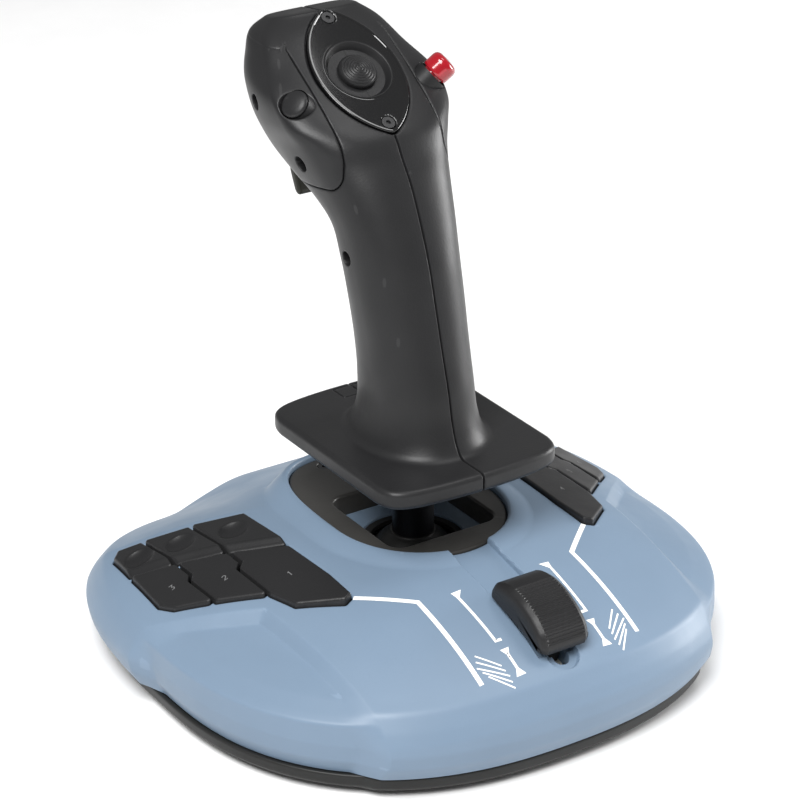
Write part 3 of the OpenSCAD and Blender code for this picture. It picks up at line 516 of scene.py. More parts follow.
def make_base():
    skin = Skin(*base_grids(), flip=True)
    skin.cut(cover_distance, -0.1, 0, 0.08, 0.3, 0.6, 1.0, 8.6)
    skin.cut(key_distance, 0.38, KEY_GAP, 0.6, 0.9, 1.3)
    skin.cut(recess_distance, 0, -0.5, -1.1, -3.4, -4.0, -4.6)
    skin.cut(ramp_side, 7.7, 7.8, 8.3)
    skin.cut(slot_distance, 2.6, 2.75, 3.0, 4.9, 5.2, 5.5, 5.9)
    skin.cut(key_ridge, 0, 0.7, 1.4)

    def keep(p):
        high = p[:, 2] > TOP_SIDE
        return ~(high & (cover_distance(p) < -0.1)) & ~(high & (slot_distance(p) < 2.6) & (p[:, 1] < -40))

    p, tris, _, inner = skin.mesh(keep)
    high = p[:, 2] > TOP_SIDE
    cover, key, recess = cover_distance(p), key_distance(p), recess_distance(p)
    slot, side, ridge = slot_distance(p), ramp_side(p), key_ridge(p)
    reach = np.hypot(p[:, 0], p[:, 1]) / outline_r(np.arctan2(p[:, 1], p[:, 0]))
    # the corner panels sink to the second sheet, over a wider band near the rim
    depth = soft_ramp(-recess, 4.6 + 4.2 * soft_ramp(reach - 0.86, 0.1, 0.03), 0.8)[:, None]
    out = p * (1 - depth) + inner * depth
    # the ground behind the key groups falls away along a faint crease
    away = soft_ramp(ridge, 44, 1.4) * soft_ramp(cover - 2, 22, 8) * np.clip((p[:, 2] - 8) / 16, 0, 1)
    out[:, 2] -= away * (0.8 + 6.6 * soft_ramp(np.abs(p[:, 0]) - 12, 38, 12))
    # bezel flare
    lift = (1 - soft_ramp(cover - 1.0, 7.6, 1.4)) * high
    out[:, 2] += (BEZEL_TOP - out[:, 2]) * lift
    # ramp under the slider
    local = to_slide(out)
    plane = SLIDE_Z + (out[:, 1] - SLIDE_Y) * math.tan(math.radians(SLIDE_TILT))
    ramp_z = np.minimum(BEZEL_TOP - 2.3 + 0.2 * (out[:, 1] + 33.4), plane)
    ramp_z = np.maximum(ramp_z, plane - 30)
    near = (local[:, 1] > -14.5) & high & (out[:, 1] < -30)
    out[:, 2] = np.where((side < 7.75) & near, np.minimum(out[:, 2], ramp_z), out[:, 2])
    edge = (side >= 7.75) & (side < 8.3) & near
    out[:, 2] -= np.where(edge, round_over(side - 7.8, 0.5) * (out[:, 2] > ramp_z + 0.3), 0)
    # oval recess and slot
    here = high & (p[:, 1] < -40)
    down = round_over(slot - 5.5, 0.4) * (slot < 5.9)
    down += np.where(slot < 5.5, 0.4 + 0.8 * soft_ramp(5.5 - slot, 0.6, 0.2), 0)
    down += np.where(slot < 3.0, round_over(slot - 2.75, 0.25), 0) + np.where(slot < 2.7, 4.0, 0)
    axis = from_slide(np.array([[0, 0, 1.0]]))[0] - from_slide(np.zeros((1, 3)))[0]
    out -= (down * here)[:, None] * axis
    # key pockets
    down = round_over(key - KEY_GAP, 0.85) * (key < 1.3) + np.where(key < 0.42, POCKET_DEPTH, 0)
    out[:, 2] -= down * high
    # rounded edge round the cover, then a straight wall
    out[:, 2] -= (round_over(cover, 1.0) + np.where(cover < -0.05, 2.4, 0)) * (cover < 1.0) * high

    # faces in the key pockets take a black that paints the shade in the gaps round the keys
    def which(m):
        return ((m[:, 2] > TOP_SIDE) & (key_distance(m) < 0.44)).astype(int)

    return piece("base_skin", out, tris, ("base_blue", "painted_pocket_shade"), "base", ["base_top_shell"],
                 "base_blue", face_look=which)


def make_bottom():
    rows_out, rows_in = [], []
    for t in np.linspace(0, TAU, 361):
        r = outline_r(t)
        for inner, rows in ((0.3 + 2.1 * abs(math.cos(t)) ** 3, rows_out), (2.4, rows_in)):
            profile = [(0, 1.6), (r * .5, 1.6), (r * .93 - inner, 1.6), (r * .957 - inner, 3.4),
                       (r * .962 - inner, 7.7), (r * .93 - inner, 7.7), (r * .93 - inner, 10)]
            rows.append(around(rounded_profile(profile, 1.2, 5), t))
    skin = Skin(np.array(rows_out), np.array(rows_in))
    skin.cut(recess_distance, 0, -2, -4.5)
    p, tris, _, inner = skin.mesh()
    depth = soft_ramp(-recess_distance(p), 4.5, 0.9)[:, None]
    piece("bottom_shell_band", p * (1 - depth) + inner * depth, tris, "shell_black", "base",
          ["base_bottom_shell"], "shell_black")


def rounded_square_r(t, h, r):
    """Polar radius of a square with half width h and corner radius r."""
    c, s = np.abs(np.cos(t)), np.abs(np.sin(t))
    big, small = np.maximum(c, s), np.minimum(c, s)
    straight = h / big
    k = h - r
    b = k * (big + small)
    corner = b + np.sqrt(np.maximum(b * b - 2 * k * k + r * r, 0))
    return np.where(straight * small <= k, straight, corner)


def cover_r(t, d):
    n = np.where(np.sin(t) < 0, 2.1, 3.3)
    a = COVER["half"] + d
    b = np.where(np.sin(t) < 0, COVER["front"], COVER["back"]) + d
    return ((np.abs(np.cos(t)) / a) ** n + (np.abs(np.sin(t)) / b) ** n) ** (-1 / n)


def ring_grid(t, rows):
    """Grid of rings given as (radius for each angle, height)."""
    return np.stack([np.stack([r * np.cos(t), r * np.sin(t), np.full_like(t, z)], 1) for r, z in rows], 1)


def make_cover():
    t = np.linspace(0, TAU, 481)
    top, foot, low, r = 49.6, 47.1, 42.1, 0.9
    hole = rounded_square_r(t, 20.5, 5)
    seat = rounded_square_r(t, 22.0, 6.5)
    rows = [(hole, low), (hole, top - r)]
    for a in np.linspace(0, QUARTER, 6)[1:]:
        d = r * (1 - math.cos(a))
        rows.append((rounded_square_r(t, 20.5 + d, 5 + d), top - r + r * math.sin(a)))
    inner, outer = rounded_square_r(t, 20.5 + r, 5 + r), cover_r(t, -0.3 - r)
    for k in np.linspace(0, 1, 26)[1:]:
        rows.append((inner * (1 - k) + outer * k, top))
    for a in np.linspace(0, QUARTER, 6)[1:]:
        rows.append((cover_r(t, -0.3 - r + r * math.sin(a)), top - r + r * math.cos(a)))
    rows += [(cover_r(t, -0.3), foot), (seat, foot), (seat, low), (hole, low)]
    skin = Skin(ring_grid(t, rows), flip=True)

    def screw(p):
        return np.where(p[:, 2] > 49, np.hypot(np.abs(p[:, 0]) - 8, p[:, 1] - 43), 99)

    skin.cut(screw, 2.3, 2.4, 2.7)
    p, tris, _, _ = skin.mesh()
    d = screw(p)
    p[:, 2] -= np.where(d < 2.35, 1.1, round_over(d - 2.4, 0.3) * (d < 2.7))
    piece("cover_plate", p, tris, "cover_grey", "base", ["gimbal_cover"], "cover_grey")
    # the gate under the opening
    square, top, low = rounded_square_r(t, 20.4, 5), 42.0, 39.3
    rows = [(seat, top), (square, top)]
    for k in np.linspace(0, 1, 16)[1:]:
        rows.append((square * (1 - k) + 17.5 * k, top + (low - top) * k))
    rows += [(np.full_like(t, 17.4), 39.1), (np.full_like(t, 17.4), 38.5), (seat, 38.5), (seat, top)]
    grid_piece("gate_cone", ring_grid(t, rows), "base_blue", "base", ["gate_funnel"], "base_blue")


# ---------- keys ----------

def tangent(c):
    """The dome's height and its two slopes at c."""
    e = 2.0
    x, y = c
    gx = (dome(x + e, y) - dome(x - e, y)) / (2 * e)
    gy = (dome(x, y + e) - dome(x, y - e)) / (2 * e)
    return float(dome(x, y)), float(gx), float(gy)


# numbers on the flat keys, as strokes in a box 1 wide and 2 high
DIGITS = {
    "1": [[(0.2, 1.6), (0.6, 2), (0.6, 0)]],
    "2": [[(0, 1.7), (0.3, 2), (0.8, 2), (1, 1.6), (1, 1.3), (0, 0), (1, 0)]],
    "3": [[(0, 2), (1, 2), (0.5, 1.15), (1, 0.7), (0.8, 0), (0, 0)]],
    "4": [[(0.75, 0), (0.75, 2), (0, 0.6), (1, 0.6)]],
    "5": [[(1, 2), (0.1, 2), (0, 1.1), (0.8, 1.2), (1, 0.7), (0.8, 0), (0, 0)]],
    "6": [[(0.8, 2), (0.1, 1), (0, 0.4), (0.3, 0), (0.8, 0), (1, 0.5), (0.7, 1), (0.1, 0.9)]],
}


def strip(line, width, step=0.4, closed=False):
    """Flat ribbon along a plane polyline: points (n, 3 across, 2) with mitred corners."""
    line = np.asarray(line, float)
    out = []
    for k in range(len(line) - 1):
        n = max(1, int(np.linalg.norm(line[k + 1] - line[k]) / step))
        for i in range(n + (k == len(line) - 2)):
            out.append((line[k] + (line[k + 1] - line[k]) * i / n, k, i == 0))
    dirs = unit(np.diff(line, axis=0))
    rows = []
    for point, k, corner in out:
        d = dirs[k]
        if corner and k > 0:
            m = unit(dirs[k] + dirs[k - 1])
            side = np.array([-m[1], m[0]]) / max(0.5, m @ d)
        else:
            side = np.array([-d[1], d[0]])
        rows.append([point - side * width / 2, point, point + side * width / 2])
    return np.array(rows)


DIMPLE_BALL, DIMPLE_DEPTH = 8.3, 1.9
KEY_SIDE = 3.2


def make_key(k, side):
    poly, centre, dimpled = CAPS[k]
    poly = np.array(poly, float)
    low, high = poly.min(0) - 1, poly.max(0) + 1
    step = 0.55
    xs = np.linspace(low[0], high[0], int((high[0] - low[0]) / step))
    ys = np.linspace(low[1], high[1], int((high[1] - low[1]) / step))
    gx, gy = np.meshgrid(xs, ys, indexing="ij")
    skin = Skin(np.stack([gx, gy, 0 * gx], -1))
    core = CAP_CORES[k]

    def edge(p):
        return sd_polygon(p[:, :2], core) - CAP_ROUND

    z0, sx, sy = tangent(centre)
    a, b = poly[0], poly[1]
    along = unit(b - a)
    inward = np.array([-along[1], along[0]])

    def lip(p):
        return (p[:, :2] - a) @ inward

    def bowl(p):
        return np.hypot(p[:, 0] - centre[0], p[:, 1] - centre[1])

    skin.cut(edge, -0.9, -0.55, -0.3, -0.12, -0.03, 0)
    if dimpled:
        skin.cut(lip, 0.9, 3.6)
        skin.cut(bowl, 4.9)
    p, tris, _, _ = skin.mesh(lambda m: edge(m) < 0)
    used, tris = used_only(p, tris)
    p = p[used].copy()
    d = edge(p)
    rise = 1.5 if dimpled else 0.9
    top = z0 + rise + (p[:, 0] - centre[0]) * sx + (p[:, 1] - centre[1]) * sy
    if dimpled:
        r = bowl(p)
        sphere = z0 + rise + (DIMPLE_BALL - DIMPLE_DEPTH) - np.sqrt(np.maximum(DIMPLE_BALL ** 2 - r * r, 0))
        deep = np.minimum(0, sphere - (z0 + rise))
        blend = 1 - soft_ramp(r - 4.6, 1.2, 0.5)
        top += np.where(r < 5.9, deep * blend, 0)
        top -= rise * (1 - soft_ramp(lip(p) - 0.2, 3.4, 1.0))
    p[:, 2] = top - round_over(-d, 0.9)
    # straight sides below the rim
    pairs = np.sort(tris[:, [[0, 1], [1, 2], [2, 0]]], axis=2).reshape(-1, 2)
    directed = tris[:, [[0, 1], [1, 2], [2, 0]]].reshape(-1, 2)
    _, inverse, count = np.unique(pairs, axis=0, return_inverse=True, return_counts=True)
    rim = directed[count[inverse.reshape(-1)] == 1]
    foot = p.copy()
    foot[:, 2] -= KEY_SIDE
    n = len(p)
    wall = np.vstack([np.stack([rim[:, 1], rim[:, 0], rim[:, 0] + n], 1),
                      np.stack([rim[:, 1], rim[:, 0] + n, rim[:, 1] + n], 1)])
    under = tris[:, ::-1] + n
    points = np.vstack([p, foot])
    tris = np.vstack([tris, wall, under])
    if side < 0:
        points = points * [-1, 1, 1]
        tris = tris[:, ::-1]
    word = "left" if side < 0 else "right"
    piece(f"{word}_keycap_{k + 1}", points, tris, "black_plastic", f"{word}_key_{k + 1}",
          [f"{word}_button_{k + 1}"], "black_plastic")
    if not dimpled:
        number = str(k - 2 if side < 0 else k + 1)
        for stroke in DIGITS[number]:
            s = strip(np.array(stroke) * 1.15, 0.34, 0.3)
            flat = s.reshape(-1, 2) - [0.55, 1.1]
            x = centre[0] * side + flat[:, 0]
            y = centre[1] - 2 + flat[:, 1]
            z = z0 + rise + (np.abs(x) - centre[0]) * sx + (y - centre[1]) * sy + 0.03
            pts = np.stack([x, y, z], 1).reshape(s.shape[0], 3, 3)
            grid_piece(f"{word}_key_{k + 1}_number", pts, "print_grey", f"{word}_key_{k + 1}", flip=True)


# ---------- throttle slider ----------

KNOB_HALF, RIB_HALF, KNOB_FOOT = 9.5, 7.2, 3.3
RIBS, RIB_DEPTH = 19, 0.36
KNOB_SIDE = [(-15.4, KNOB_FOOT), (-16.6, 4.0), (-16.4, 6.6), (-13.9, 10.2), (-8.5, 12.6), (-1, 13.6),
             (5.5, 12.8), (10.2, 10.8), (13.4, 8), (14.4, 5.4), (14.2, KNOB_FOOT)]


def make_knob():
    line = even(rounded_profile(KNOB_SIDE, 2.2, 6), 300)
    along = unit(np.gradient(line, axis=0))
    out = np.stack([along[:, 1], -along[:, 0]], 1) * -1
    centre = np.array([-0.5, 8])
    out *= np.sign(np.sum(out * (line - centre), 1, keepdims=True))
    s = np.concatenate([[0], np.cumsum(np.hypot(*np.diff(line, axis=0).T))])
    xs = np.concatenate([np.linspace(-KNOB_HALF, -RIB_HALF, 7), np.linspace(-7.0, 7.0, 15),
                         np.linspace(RIB_HALF, KNOB_HALF, 7)])
    start = s[np.argmin(np.hypot(*(line - (-16.0, 7.6)).T))]
    stop = s[np.argmin(np.hypot(*(line - (5.5, 12.8)).T))]
    wave = 0.5 - 0.5 * np.cos(TAU * ((s - start) / ((stop - start) / RIBS)))
    ribs = np.where((s > start) & (s < stop), RIB_DEPTH * wave ** 0.8, 0)
    rows = []
    for x in xs:
        sink = round_over(KNOB_HALF - abs(x), 1.1) + 1.6 * max(0, abs(x) - RIB_HALF) / 2.3
        q = line - out * (sink + (ribs if abs(x) <= 7.1 else np.zeros(len(s))))[:, None]
        q[:, 1] = np.maximum(q[:, 1], KNOB_FOOT)
        rows.append(np.stack([np.full(len(q), x), q[:, 0], q[:, 1]], 1))
    grid = np.array(rows)
    # end walls and underside close the body
    grid = np.concatenate([grid[:1] * [1, 0, 0] + [0, -0.5, 8], grid, grid[-1:] * [1, 0, 0] + [0, -0.5, 8]])
    n, m = grid.shape[:2]
    foot = np.arange(n) * m
    end = foot + m - 1
    under = np.vstack([np.stack([foot[:-1], end[:-1], end[1:]], 1),
                       np.stack([foot[:-1], end[1:], foot[1:]], 1)])
    piece("throttle_knob", from_slide(grid.reshape(-1, 3)), np.vstack([grid_tris(n, m), under]),
          "black_plastic", "slider", ["slider_knob"], "black_plastic", sharp=50)
    x, y0, y1, z0, z1 = 2.4, -12.5, -2.5, -6.0, 3.4
    ring = rounded_profile([(0, y0), (x, y0), (x, y1), (-x, y1), (-x, y0), (0, y0)], 0.6, 3)
    grid = np.stack([np.concatenate([ring, np.full((len(ring), 1), z)], 1) for z in (z0, -1, z1)], 1)
    lid = np.concatenate([np.tile([[0, (y0 + y1) / 2, z0]], (len(ring), 1))[:, None], grid], 1)
    grid_piece("throttle_stem", from_slide(lid.reshape(-1, 3)).reshape(lid.shape), "black_plastic", "slider",
               slot="black_plastic")


# ---------- stick ----------

def keep_place(p):
    return p


def make_stick():
    turns = np.linspace(math.radians(128), math.radians(31), 40)
    ball = [(16 * math.sin(a), 28 + 16 * math.cos(a)) for a in turns]
    profile = [(0.0, 18.1), (4.0, 18.1)] + ball + [(7.9, 41.9), (7.6, 42.3), (7.05, 42.4)]
    revolve("stick_ball_skin", profile, 120, keep_place, "shell_black", "stick", ["stick_ball"],
            "shell_black")
    profile = rounded_profile([(3.4, 34), (7.0, 34), (7.0, 82.8), (6.0, 83), (6.0, 112), (3, 112), (3, 118),
                               (0, 118)], .4, 3)
    fine = []
    for a, b in zip(profile[:-1], profile[1:]):
        n = max(1, int(np.linalg.norm(b - a) / 2))
        fine += [a + (b - a) * i / n for i in range(n)]
    fine.append(profile[-1])
    revolve("stick_shaft_skin", fine, 96, keep_place, "screw_black", "stick", ["stick_shaft"], "screw_black")


# ---------- grip ----------

# y and z on the near side, y and z on the far side, half width, where it is widest between the two,
# and the exponents of the near and far halves
RINGS = np.array([
    [-27.2, 81.0, 23.4, 81.0, 20.4, .5, 2.3, 2.3],
    [-25.3, 84.2, 21.3, 84.2, 19.0, .5, 2.3, 2.3],
    [-23.5, 89, 19.5, 89, 17.8, .5, 2.3, 2.3],
    [-21, 100, 18.8, 100, 17.3, .5, 2.3, 2.3],
    [-17.5, 112, 19.7, 112, 17.5, .5, 2.3, 2.3],
    [-13.6, 126, 21.7, 124, 18.1, .5, 2.3, 2.3],
    [-9.2, 141, 25.5, 138, 18.8, .5, 2.3, 2.3],
    [-4.8, 152, 29.5, 148, 19.7, .48, 2.4, 2.3],
    [1, 164, 39, 153, 21.7, .44, 2.5, 2.2],
    [6.5, 172, 54, 158, 24.5, .36, 2.6, 2.1],
    [10.5, 178, 66, 165, 27.2, .28, 2.6, 2.2],
    [17, 182.8, 71.5, 176, 30.4, .22, 2.5, 2.3],
    [26, 189, 73, 187, 30.4, .22, 2.5, 2.5],
    [36.5, 196.2, 72.5, 195.5, 25.7, .32, 2.5, 3.0],
    [47, 203.2, 70.2, 201.6, 21.4, .42, 2.5, 3.7],
    [54.5, 207, 66, 205.3, 16.4, .5, 2.5, 4.2]])


def ring_points(r, t):
    """One ring of the column, as half of a closed curve."""
    c, s = np.cos(t), np.sin(t)
    e = np.where(c < 0, 2 / r[6], 2 / r[7])
    u = np.sign(c) * np.abs(c) ** e
    v = np.sign(s) * np.abs(s) ** e
    k = np.where(u < 0, r[5] * (1 + u), r[5] + (1 - r[5]) * u)
    return np.stack([r[4] * v, r[0] + k * (r[2] - r[0]), r[1] + k * (r[3] - r[1])], 1)


def smooth_rings(rings, per_mm):
    """Cubic interpolation of the rings along the grip."""
    mid = np.stack([(rings[:, 0] + rings[:, 2]) / 2, (rings[:, 1] + rings[:, 3]) / 2, rings[:, 4]], 1)
    s = np.concatenate([[0], np.cumsum(np.linalg.norm(np.diff(mid, axis=0), axis=1))])
    slope = np.zeros_like(rings)
    d = np.diff(rings, axis=0) / np.diff(s)[:, None]
    slope[0], slope[-1] = d[0], d[-1]
    h = np.diff(s)
    slope[1:-1] = (d[:-1] * h[1:, None] + d[1:] * h[:-1, None]) / (h[:-1] + h[1:])[:, None]
    out = []
    for k in range(len(rings) - 1):
        n = max(2, int(h[k] * per_mm))
        for i in range(n):
            t = i / n
            a, b = 2 * t ** 3 - 3 * t ** 2 + 1, t ** 3 - 2 * t ** 2 + t
            c, e = -2 * t ** 3 + 3 * t ** 2, t ** 3 - t ** 2
            out.append(a * rings[k] + b * h[k] * slope[k] + c * rings[k + 1] + e * h[k] * slope[k + 1])
    out.append(rings[-1])
    return np.array(out)


PLATE_HALF, PLATE_LONG, PLATE_CORNER, PLATE_ARC, PLATE_TIP = 33.8, 42.0, 14.0, 130.0, 41.5


def plate_field(x, y):
    """Distance to the hand rest's outline: a rounded box met by two arcs."""
    qx, qy = np.abs(x) - (PLATE_HALF - PLATE_CORNER), np.abs(y) - (PLATE_LONG - PLATE_CORNER)
    box = np.hypot(np.maximum(qx, 0), np.maximum(qy, 0)) + np.minimum(np.maximum(qx, qy), 0) - PLATE_CORNER
    arcs = np.maximum(np.hypot(x, y + PLATE_ARC - PLATE_TIP),
                      np.hypot(x, y - PLATE_ARC + PLATE_TIP)) - PLATE_ARC
    both = np.maximum(box, arcs)
    blend = 3.0
    h = np.maximum(blend - np.abs(box - arcs), 0) / blend
    return both + h * h * blend / 4


def plate_outline(direction, d, centre):
    """Where rays from the centre meet the plate's outline moved outwards by d."""
    low, high = np.full(len(direction), 5.0), np.full(len(direction), 60.0)
    for _ in range(30):
        mid = (low + high) / 2
        q = centre + direction * mid[:, None]
        inside = plate_field(q[:, 0], q[:, 1]) < d
        low, high = np.where(inside, mid, low), np.where(inside, high, mid)
    return centre + direction * low[:, None]


def grip_grid():
    t = np.linspace(0, math.pi, 151)
    rings = smooth_rings(RINGS, 1.05)
    column = np.stack([ring_points(r, t) for r in rings], 1)
    foot = column[:, 0, :2]
    centre = np.array([0, (RINGS[0, 0] + RINGS[0, 2]) / 2])
    direction = unit(foot - centre)
    rows = []

    def row(xy, z):
        rows.append(np.concatenate([xy, np.full((len(xy), 1), z)], 1))

    top, bottom, r, hole_r = 80.0, 73.5, 1.9, 9.0
    angle = np.arctan2(direction[:, 0], direction[:, 1])
    hole = np.stack([hole_r * np.sin(angle), hole_r * np.cos(angle)], 1)
    row(hole, bottom + 4)
    row(hole, bottom)
    edge = plate_outline(direction, -r, centre)
    for k in (0.3, 0.6, 0.85, 1):
        row(hole * (1 - k) + edge * k, bottom)
    for a in np.linspace(0, QUARTER, 7)[1:]:
        row(plate_outline(direction, -r + r * math.sin(a), centre), bottom + r - r * math.cos(a))
    row(plate_outline(direction, 0, centre), (top + bottom) / 2)
    for a in np.linspace(0, QUARTER, 8):
        row(plate_outline(direction, -r + r * math.cos(a), centre), top - r + r * math.sin(a))
    outward = unit(np.stack([foot[:, 0], foot[:, 1] - centre[1]], 1))
    flare = foot + outward * 2.4
    for k in np.linspace(0, 1, 15)[1:]:
        row(edge * (1 - k) + flare * k, top)
    # concave fillet up to the column
    begin = np.concatenate([flare, np.full((len(flare), 1), top)], 1)
    knee = np.concatenate([foot + outward * 0.7, np.full((len(foot), 1), top + 0.15)], 1)
    for k in np.linspace(0, 1, 8)[1:-1]:
        rows.append((1 - k) ** 2 * begin + 2 * k * (1 - k) * knee + k * k * column[:, 1])
    for k in range(1, column.shape[1]):
        rows.append(column[:, k])
    last = column[:, -1]
    heart = np.array([0, 59.8, 206.2])
    for k, lift in ((0.97, 0.2), (0.9, 0.35), (0.7, 0.42), (0.35, 0.42), (0, 0.42)):
        rows.append(heart + (last - heart) * k + [0, 0, lift])
    return np.stack(rows, 1)


to_hat, from_hat = tilted((0, 32.5, 193.2), 34.7)
LEAF_R, LEAF_SHIFT, LEAF_TIP = 29.65, 14.25, 25.6
# the head buttons' place and direction, on the right side
BUTTON_AT = np.array([26.2, 28.4, 188.4])
AXIS = np.array([.7186, -.2488, .6494])
PANEL_ROUND = 5.0
PANEL_CORE = inset([(13, 230), (12, 178), (9.6, 163.6), (33, 160), (42, 148), (90, 148), (90, 230)],
                   PANEL_ROUND)
# (y, z, depth of the head) and (y, z)
GRIP_SCREWS = [(10.5, 140.3, 15.0), (14.2, 97.0, 10.5)]
PANEL_SCREWS = [(27, 168.5), (47.4, 184)]


def leaf_distance(p):
    q = to_hat(p)
    x, y = q[:, 0], q[:, 1]
    d = np.maximum(np.hypot(np.abs(x) + LEAF_SHIFT, y) - LEAF_R, np.hypot(x, y) - LEAF_TIP)
    return d + 4 * np.maximum(0, -9 - q[:, 2])


def panel_distance(p):
    """Negative inside the side panel."""
    lower = sd_polygon(p[:, 1:], PANEL_CORE) - PANEL_ROUND
    front = np.interp(p[:, 1], [8, 46, 54], [18.8, 18.8, 7.3]) - np.abs(p[:, 0])
    top = p[:, 2] - 200.3 - np.where(p[:, 1] < 47, 20, 0)
    return np.maximum(np.maximum(lower, front), top)


def button_distance(p):
    q = np.abs(p * [1, 0, 0]) + p * [0, 1, 1] - BUTTON_AT
    h = q @ AXIS
    d = np.linalg.norm(q - h[:, None] * AXIS, axis=1)
    return d + 4 * np.maximum(0, -12 - h)


def trigger_distance(p):
    y, z = p[:, 1], p[:, 2]
    zone = np.maximum(np.maximum(152.2 - z, z - 186), 51 - y)
    return np.maximum(np.abs(p[:, 0]) - 5.4, zone)


def inset_distance(p):
    """The small insert behind the column on the hand rest."""
    x, y = np.abs(p[:, 0]) - 7.2, np.abs(p[:, 1] - 34.7) - 3.7
    d = np.maximum(x, y)
    return d + 8 * np.maximum(0, np.abs(p[:, 2] - 80) - 0.3)


def screw_distances(p, side):
    """Distance from the nearest screw axis of the side view, its head face and bore radius."""
    best = np.full(len(p), 50.0)
    depth = np.zeros(len(p))
    holes = [(y, z, 20.3, 2.6) for y, z in PANEL_SCREWS]
    if side < 0:
        holes += [(y, z, h - 0.4, 2.4) for y, z, h in GRIP_SCREWS]
    for y, z, face, radius in holes:
        d = np.hypot(p[:, 1] - y, p[:, 2] - z) - radius + 4 * np.maximum(0, 7 - np.abs(p[:, 0]))
        near = d < best
        best = np.where(near, d, best)
        depth = np.where(near, face, depth)
    return best, depth


def make_grip(side):
    word = "left" if side < 0 else "right"
    skin = Skin(grip_grid(), flip=True)

    def seam(p):
        return np.abs(p[:, 0])

    def screws(p):
        return screw_distances(p, side)[0]

    skin.cut(seam, 0.24, 0.3, 0.5, 0.75)
    skin.cut(leaf_distance, 0.15, 0.25, 0.5, 1.0)
    skin.cut(panel_distance, -0.7, -0.35, -0.14, 0, 0.14, 0.35, 0.7)
    bore = 5.35 if side > 0 else 5.0
    skin.cut(button_distance, bore, bore + 0.08, bore + 0.3, bore + 0.6)
    skin.cut(screws, -0.05, 0.02, 0.2, 0.5)
    skin.cut(trigger_distance, -0.02, 0.3, 0.7)
    skin.cut(inset_distance, -0.55, -0.25, 0.0, 0.3)

    def shaped(p, n):
        out = p.copy()
        x = seam(p)
        leaf, button = leaf_distance(p), button_distance(p)
        edge = panel_distance(p)
        hole, face = screw_distances(p, side)
        cut = trigger_distance(p)
        groove = inset_distance(p)
        seam_in = np.where(x < 0.27, 1.2, round_over(x - 0.3, 0.45) * 0.8)
        seam_in = np.where(leaf < 1, 0, seam_in)
        gap = np.abs(edge) - 0.14
        groove_in = round_over(np.maximum(gap, 0), 0.56) * 0.8 + np.where(gap < -0.05, 0.9, 0)
        fade = 1 - 0.93 * soft_ramp(p[:, 1] - 40, 8, 2) * (p[:, 2] > 185)
        panel_in = np.where(gap < 0.6, groove_in * fade, 0)
        panel_in = np.where(leaf < 0.6, 0, panel_in)
        rim_in = np.where(button < bore + 0.6, round_over(button - bore, 0.6) * 0.8, 0)
        cut_in = np.where(cut < 0.7, round_over(cut, 0.7) + np.where(cut < 0, 2.0, 0), 0)
        line_in = np.where(np.abs(groove + 0.12) < 0.45, 0.7 * (1 - np.abs(groove + 0.12) / 0.45), 0)
        out -= n * (seam_in + panel_in + rim_in + cut_in + line_in)[:, None]
        # screw wells run straight in along x
        rim = np.where(hole < 0.5, round_over(hole, 0.5), 0)
        out[:, 0] -= rim * (hole > 0)
        well = hole < 0.01
        out[:, 0] = np.where(well, np.minimum(out[:, 0], face), out[:, 0])
        # button bore
        out -= np.where(button < bore + 0.04, 3.0, 0)[:, None] * AXIS
        # bed for the hat plate
        q = to_hat(out)
        rim = round_over(leaf - 0.25, 0.75) * ((leaf > 0.2) & (leaf < 1.0))
        q[:, 2] = np.where(leaf < 0.2, np.minimum(q[:, 2], -1.4), q[:, 2] - rim * 0.9)
        out = from_hat(q)
        out[:, 0] = np.maximum(out[:, 0], 0.04)
        return out

    def build(name, keep, node):
        p, tris, n, _ = skin.mesh(keep)
        n[:, 0] = np.where(p[:, 0] < 1e-6, 0, n[:, 0])
        n = n / np.maximum(np.linalg.norm(n, axis=1, keepdims=True), 1e-9)
        out = shaped(p, n)
        if side < 0:
            out = out * [-1, 1, 1]
            tris = tris[:, ::-1]
        piece(name, out, tris, "black_plastic", "handle", [node], "black_plastic")

    def solid(m):
        return ~(button_distance(m) < bore) & ~(trigger_distance(m) < -0.02)

    def shell(m):
        return (panel_distance(m) > 0) & solid(m)

    def panel(m):
        return (panel_distance(m) < 0) & solid(m) & (leaf_distance(m) > 0.15)

    build(f"{word}_grip_skin", shell, f"grip_shell_{word}")
    build(f"{word}_panel_skin", panel, f"side_panel_{word}")
    # bore lining behind the button
    a = np.linspace(0, TAU, 65)
    x = unit(np.cross([0, 0, 1.0], AXIS))
    y = np.cross(AXIS, x)
    rows = []
    for radius, h in ((bore + 0.05, -0.2), (bore + 0.05, -4.5), (3.7, -4.5), (3.7, -6.5)):
        rows.append(BUTTON_AT + radius * (np.cos(a)[:, None] * x + np.sin(a)[:, None] * y) + h * AXIS)
    lining = np.stack(rows, 1)
    if side < 0:
        lining = lining * [-1, 1, 1]
    grid_piece(f"{word}_button_well", lining, "switch_black", "handle", slot="black_plastic", flip=side < 0)


def leaf_r(t, d):
    """Polar radius of the hat plate's outline moved outwards by d."""
    c, s = np.cos(t), np.sin(t)
    r = LEAF_R + d
    one = -LEAF_SHIFT * np.abs(c) + np.sqrt(r * r - (LEAF_SHIFT * s) ** 2)
    blend = 1.2
    tip = LEAF_TIP + d
    h = np.maximum(blend - np.abs(one - tip), 0) / blend
    return np.minimum(one, tip) - h * h * blend / 4


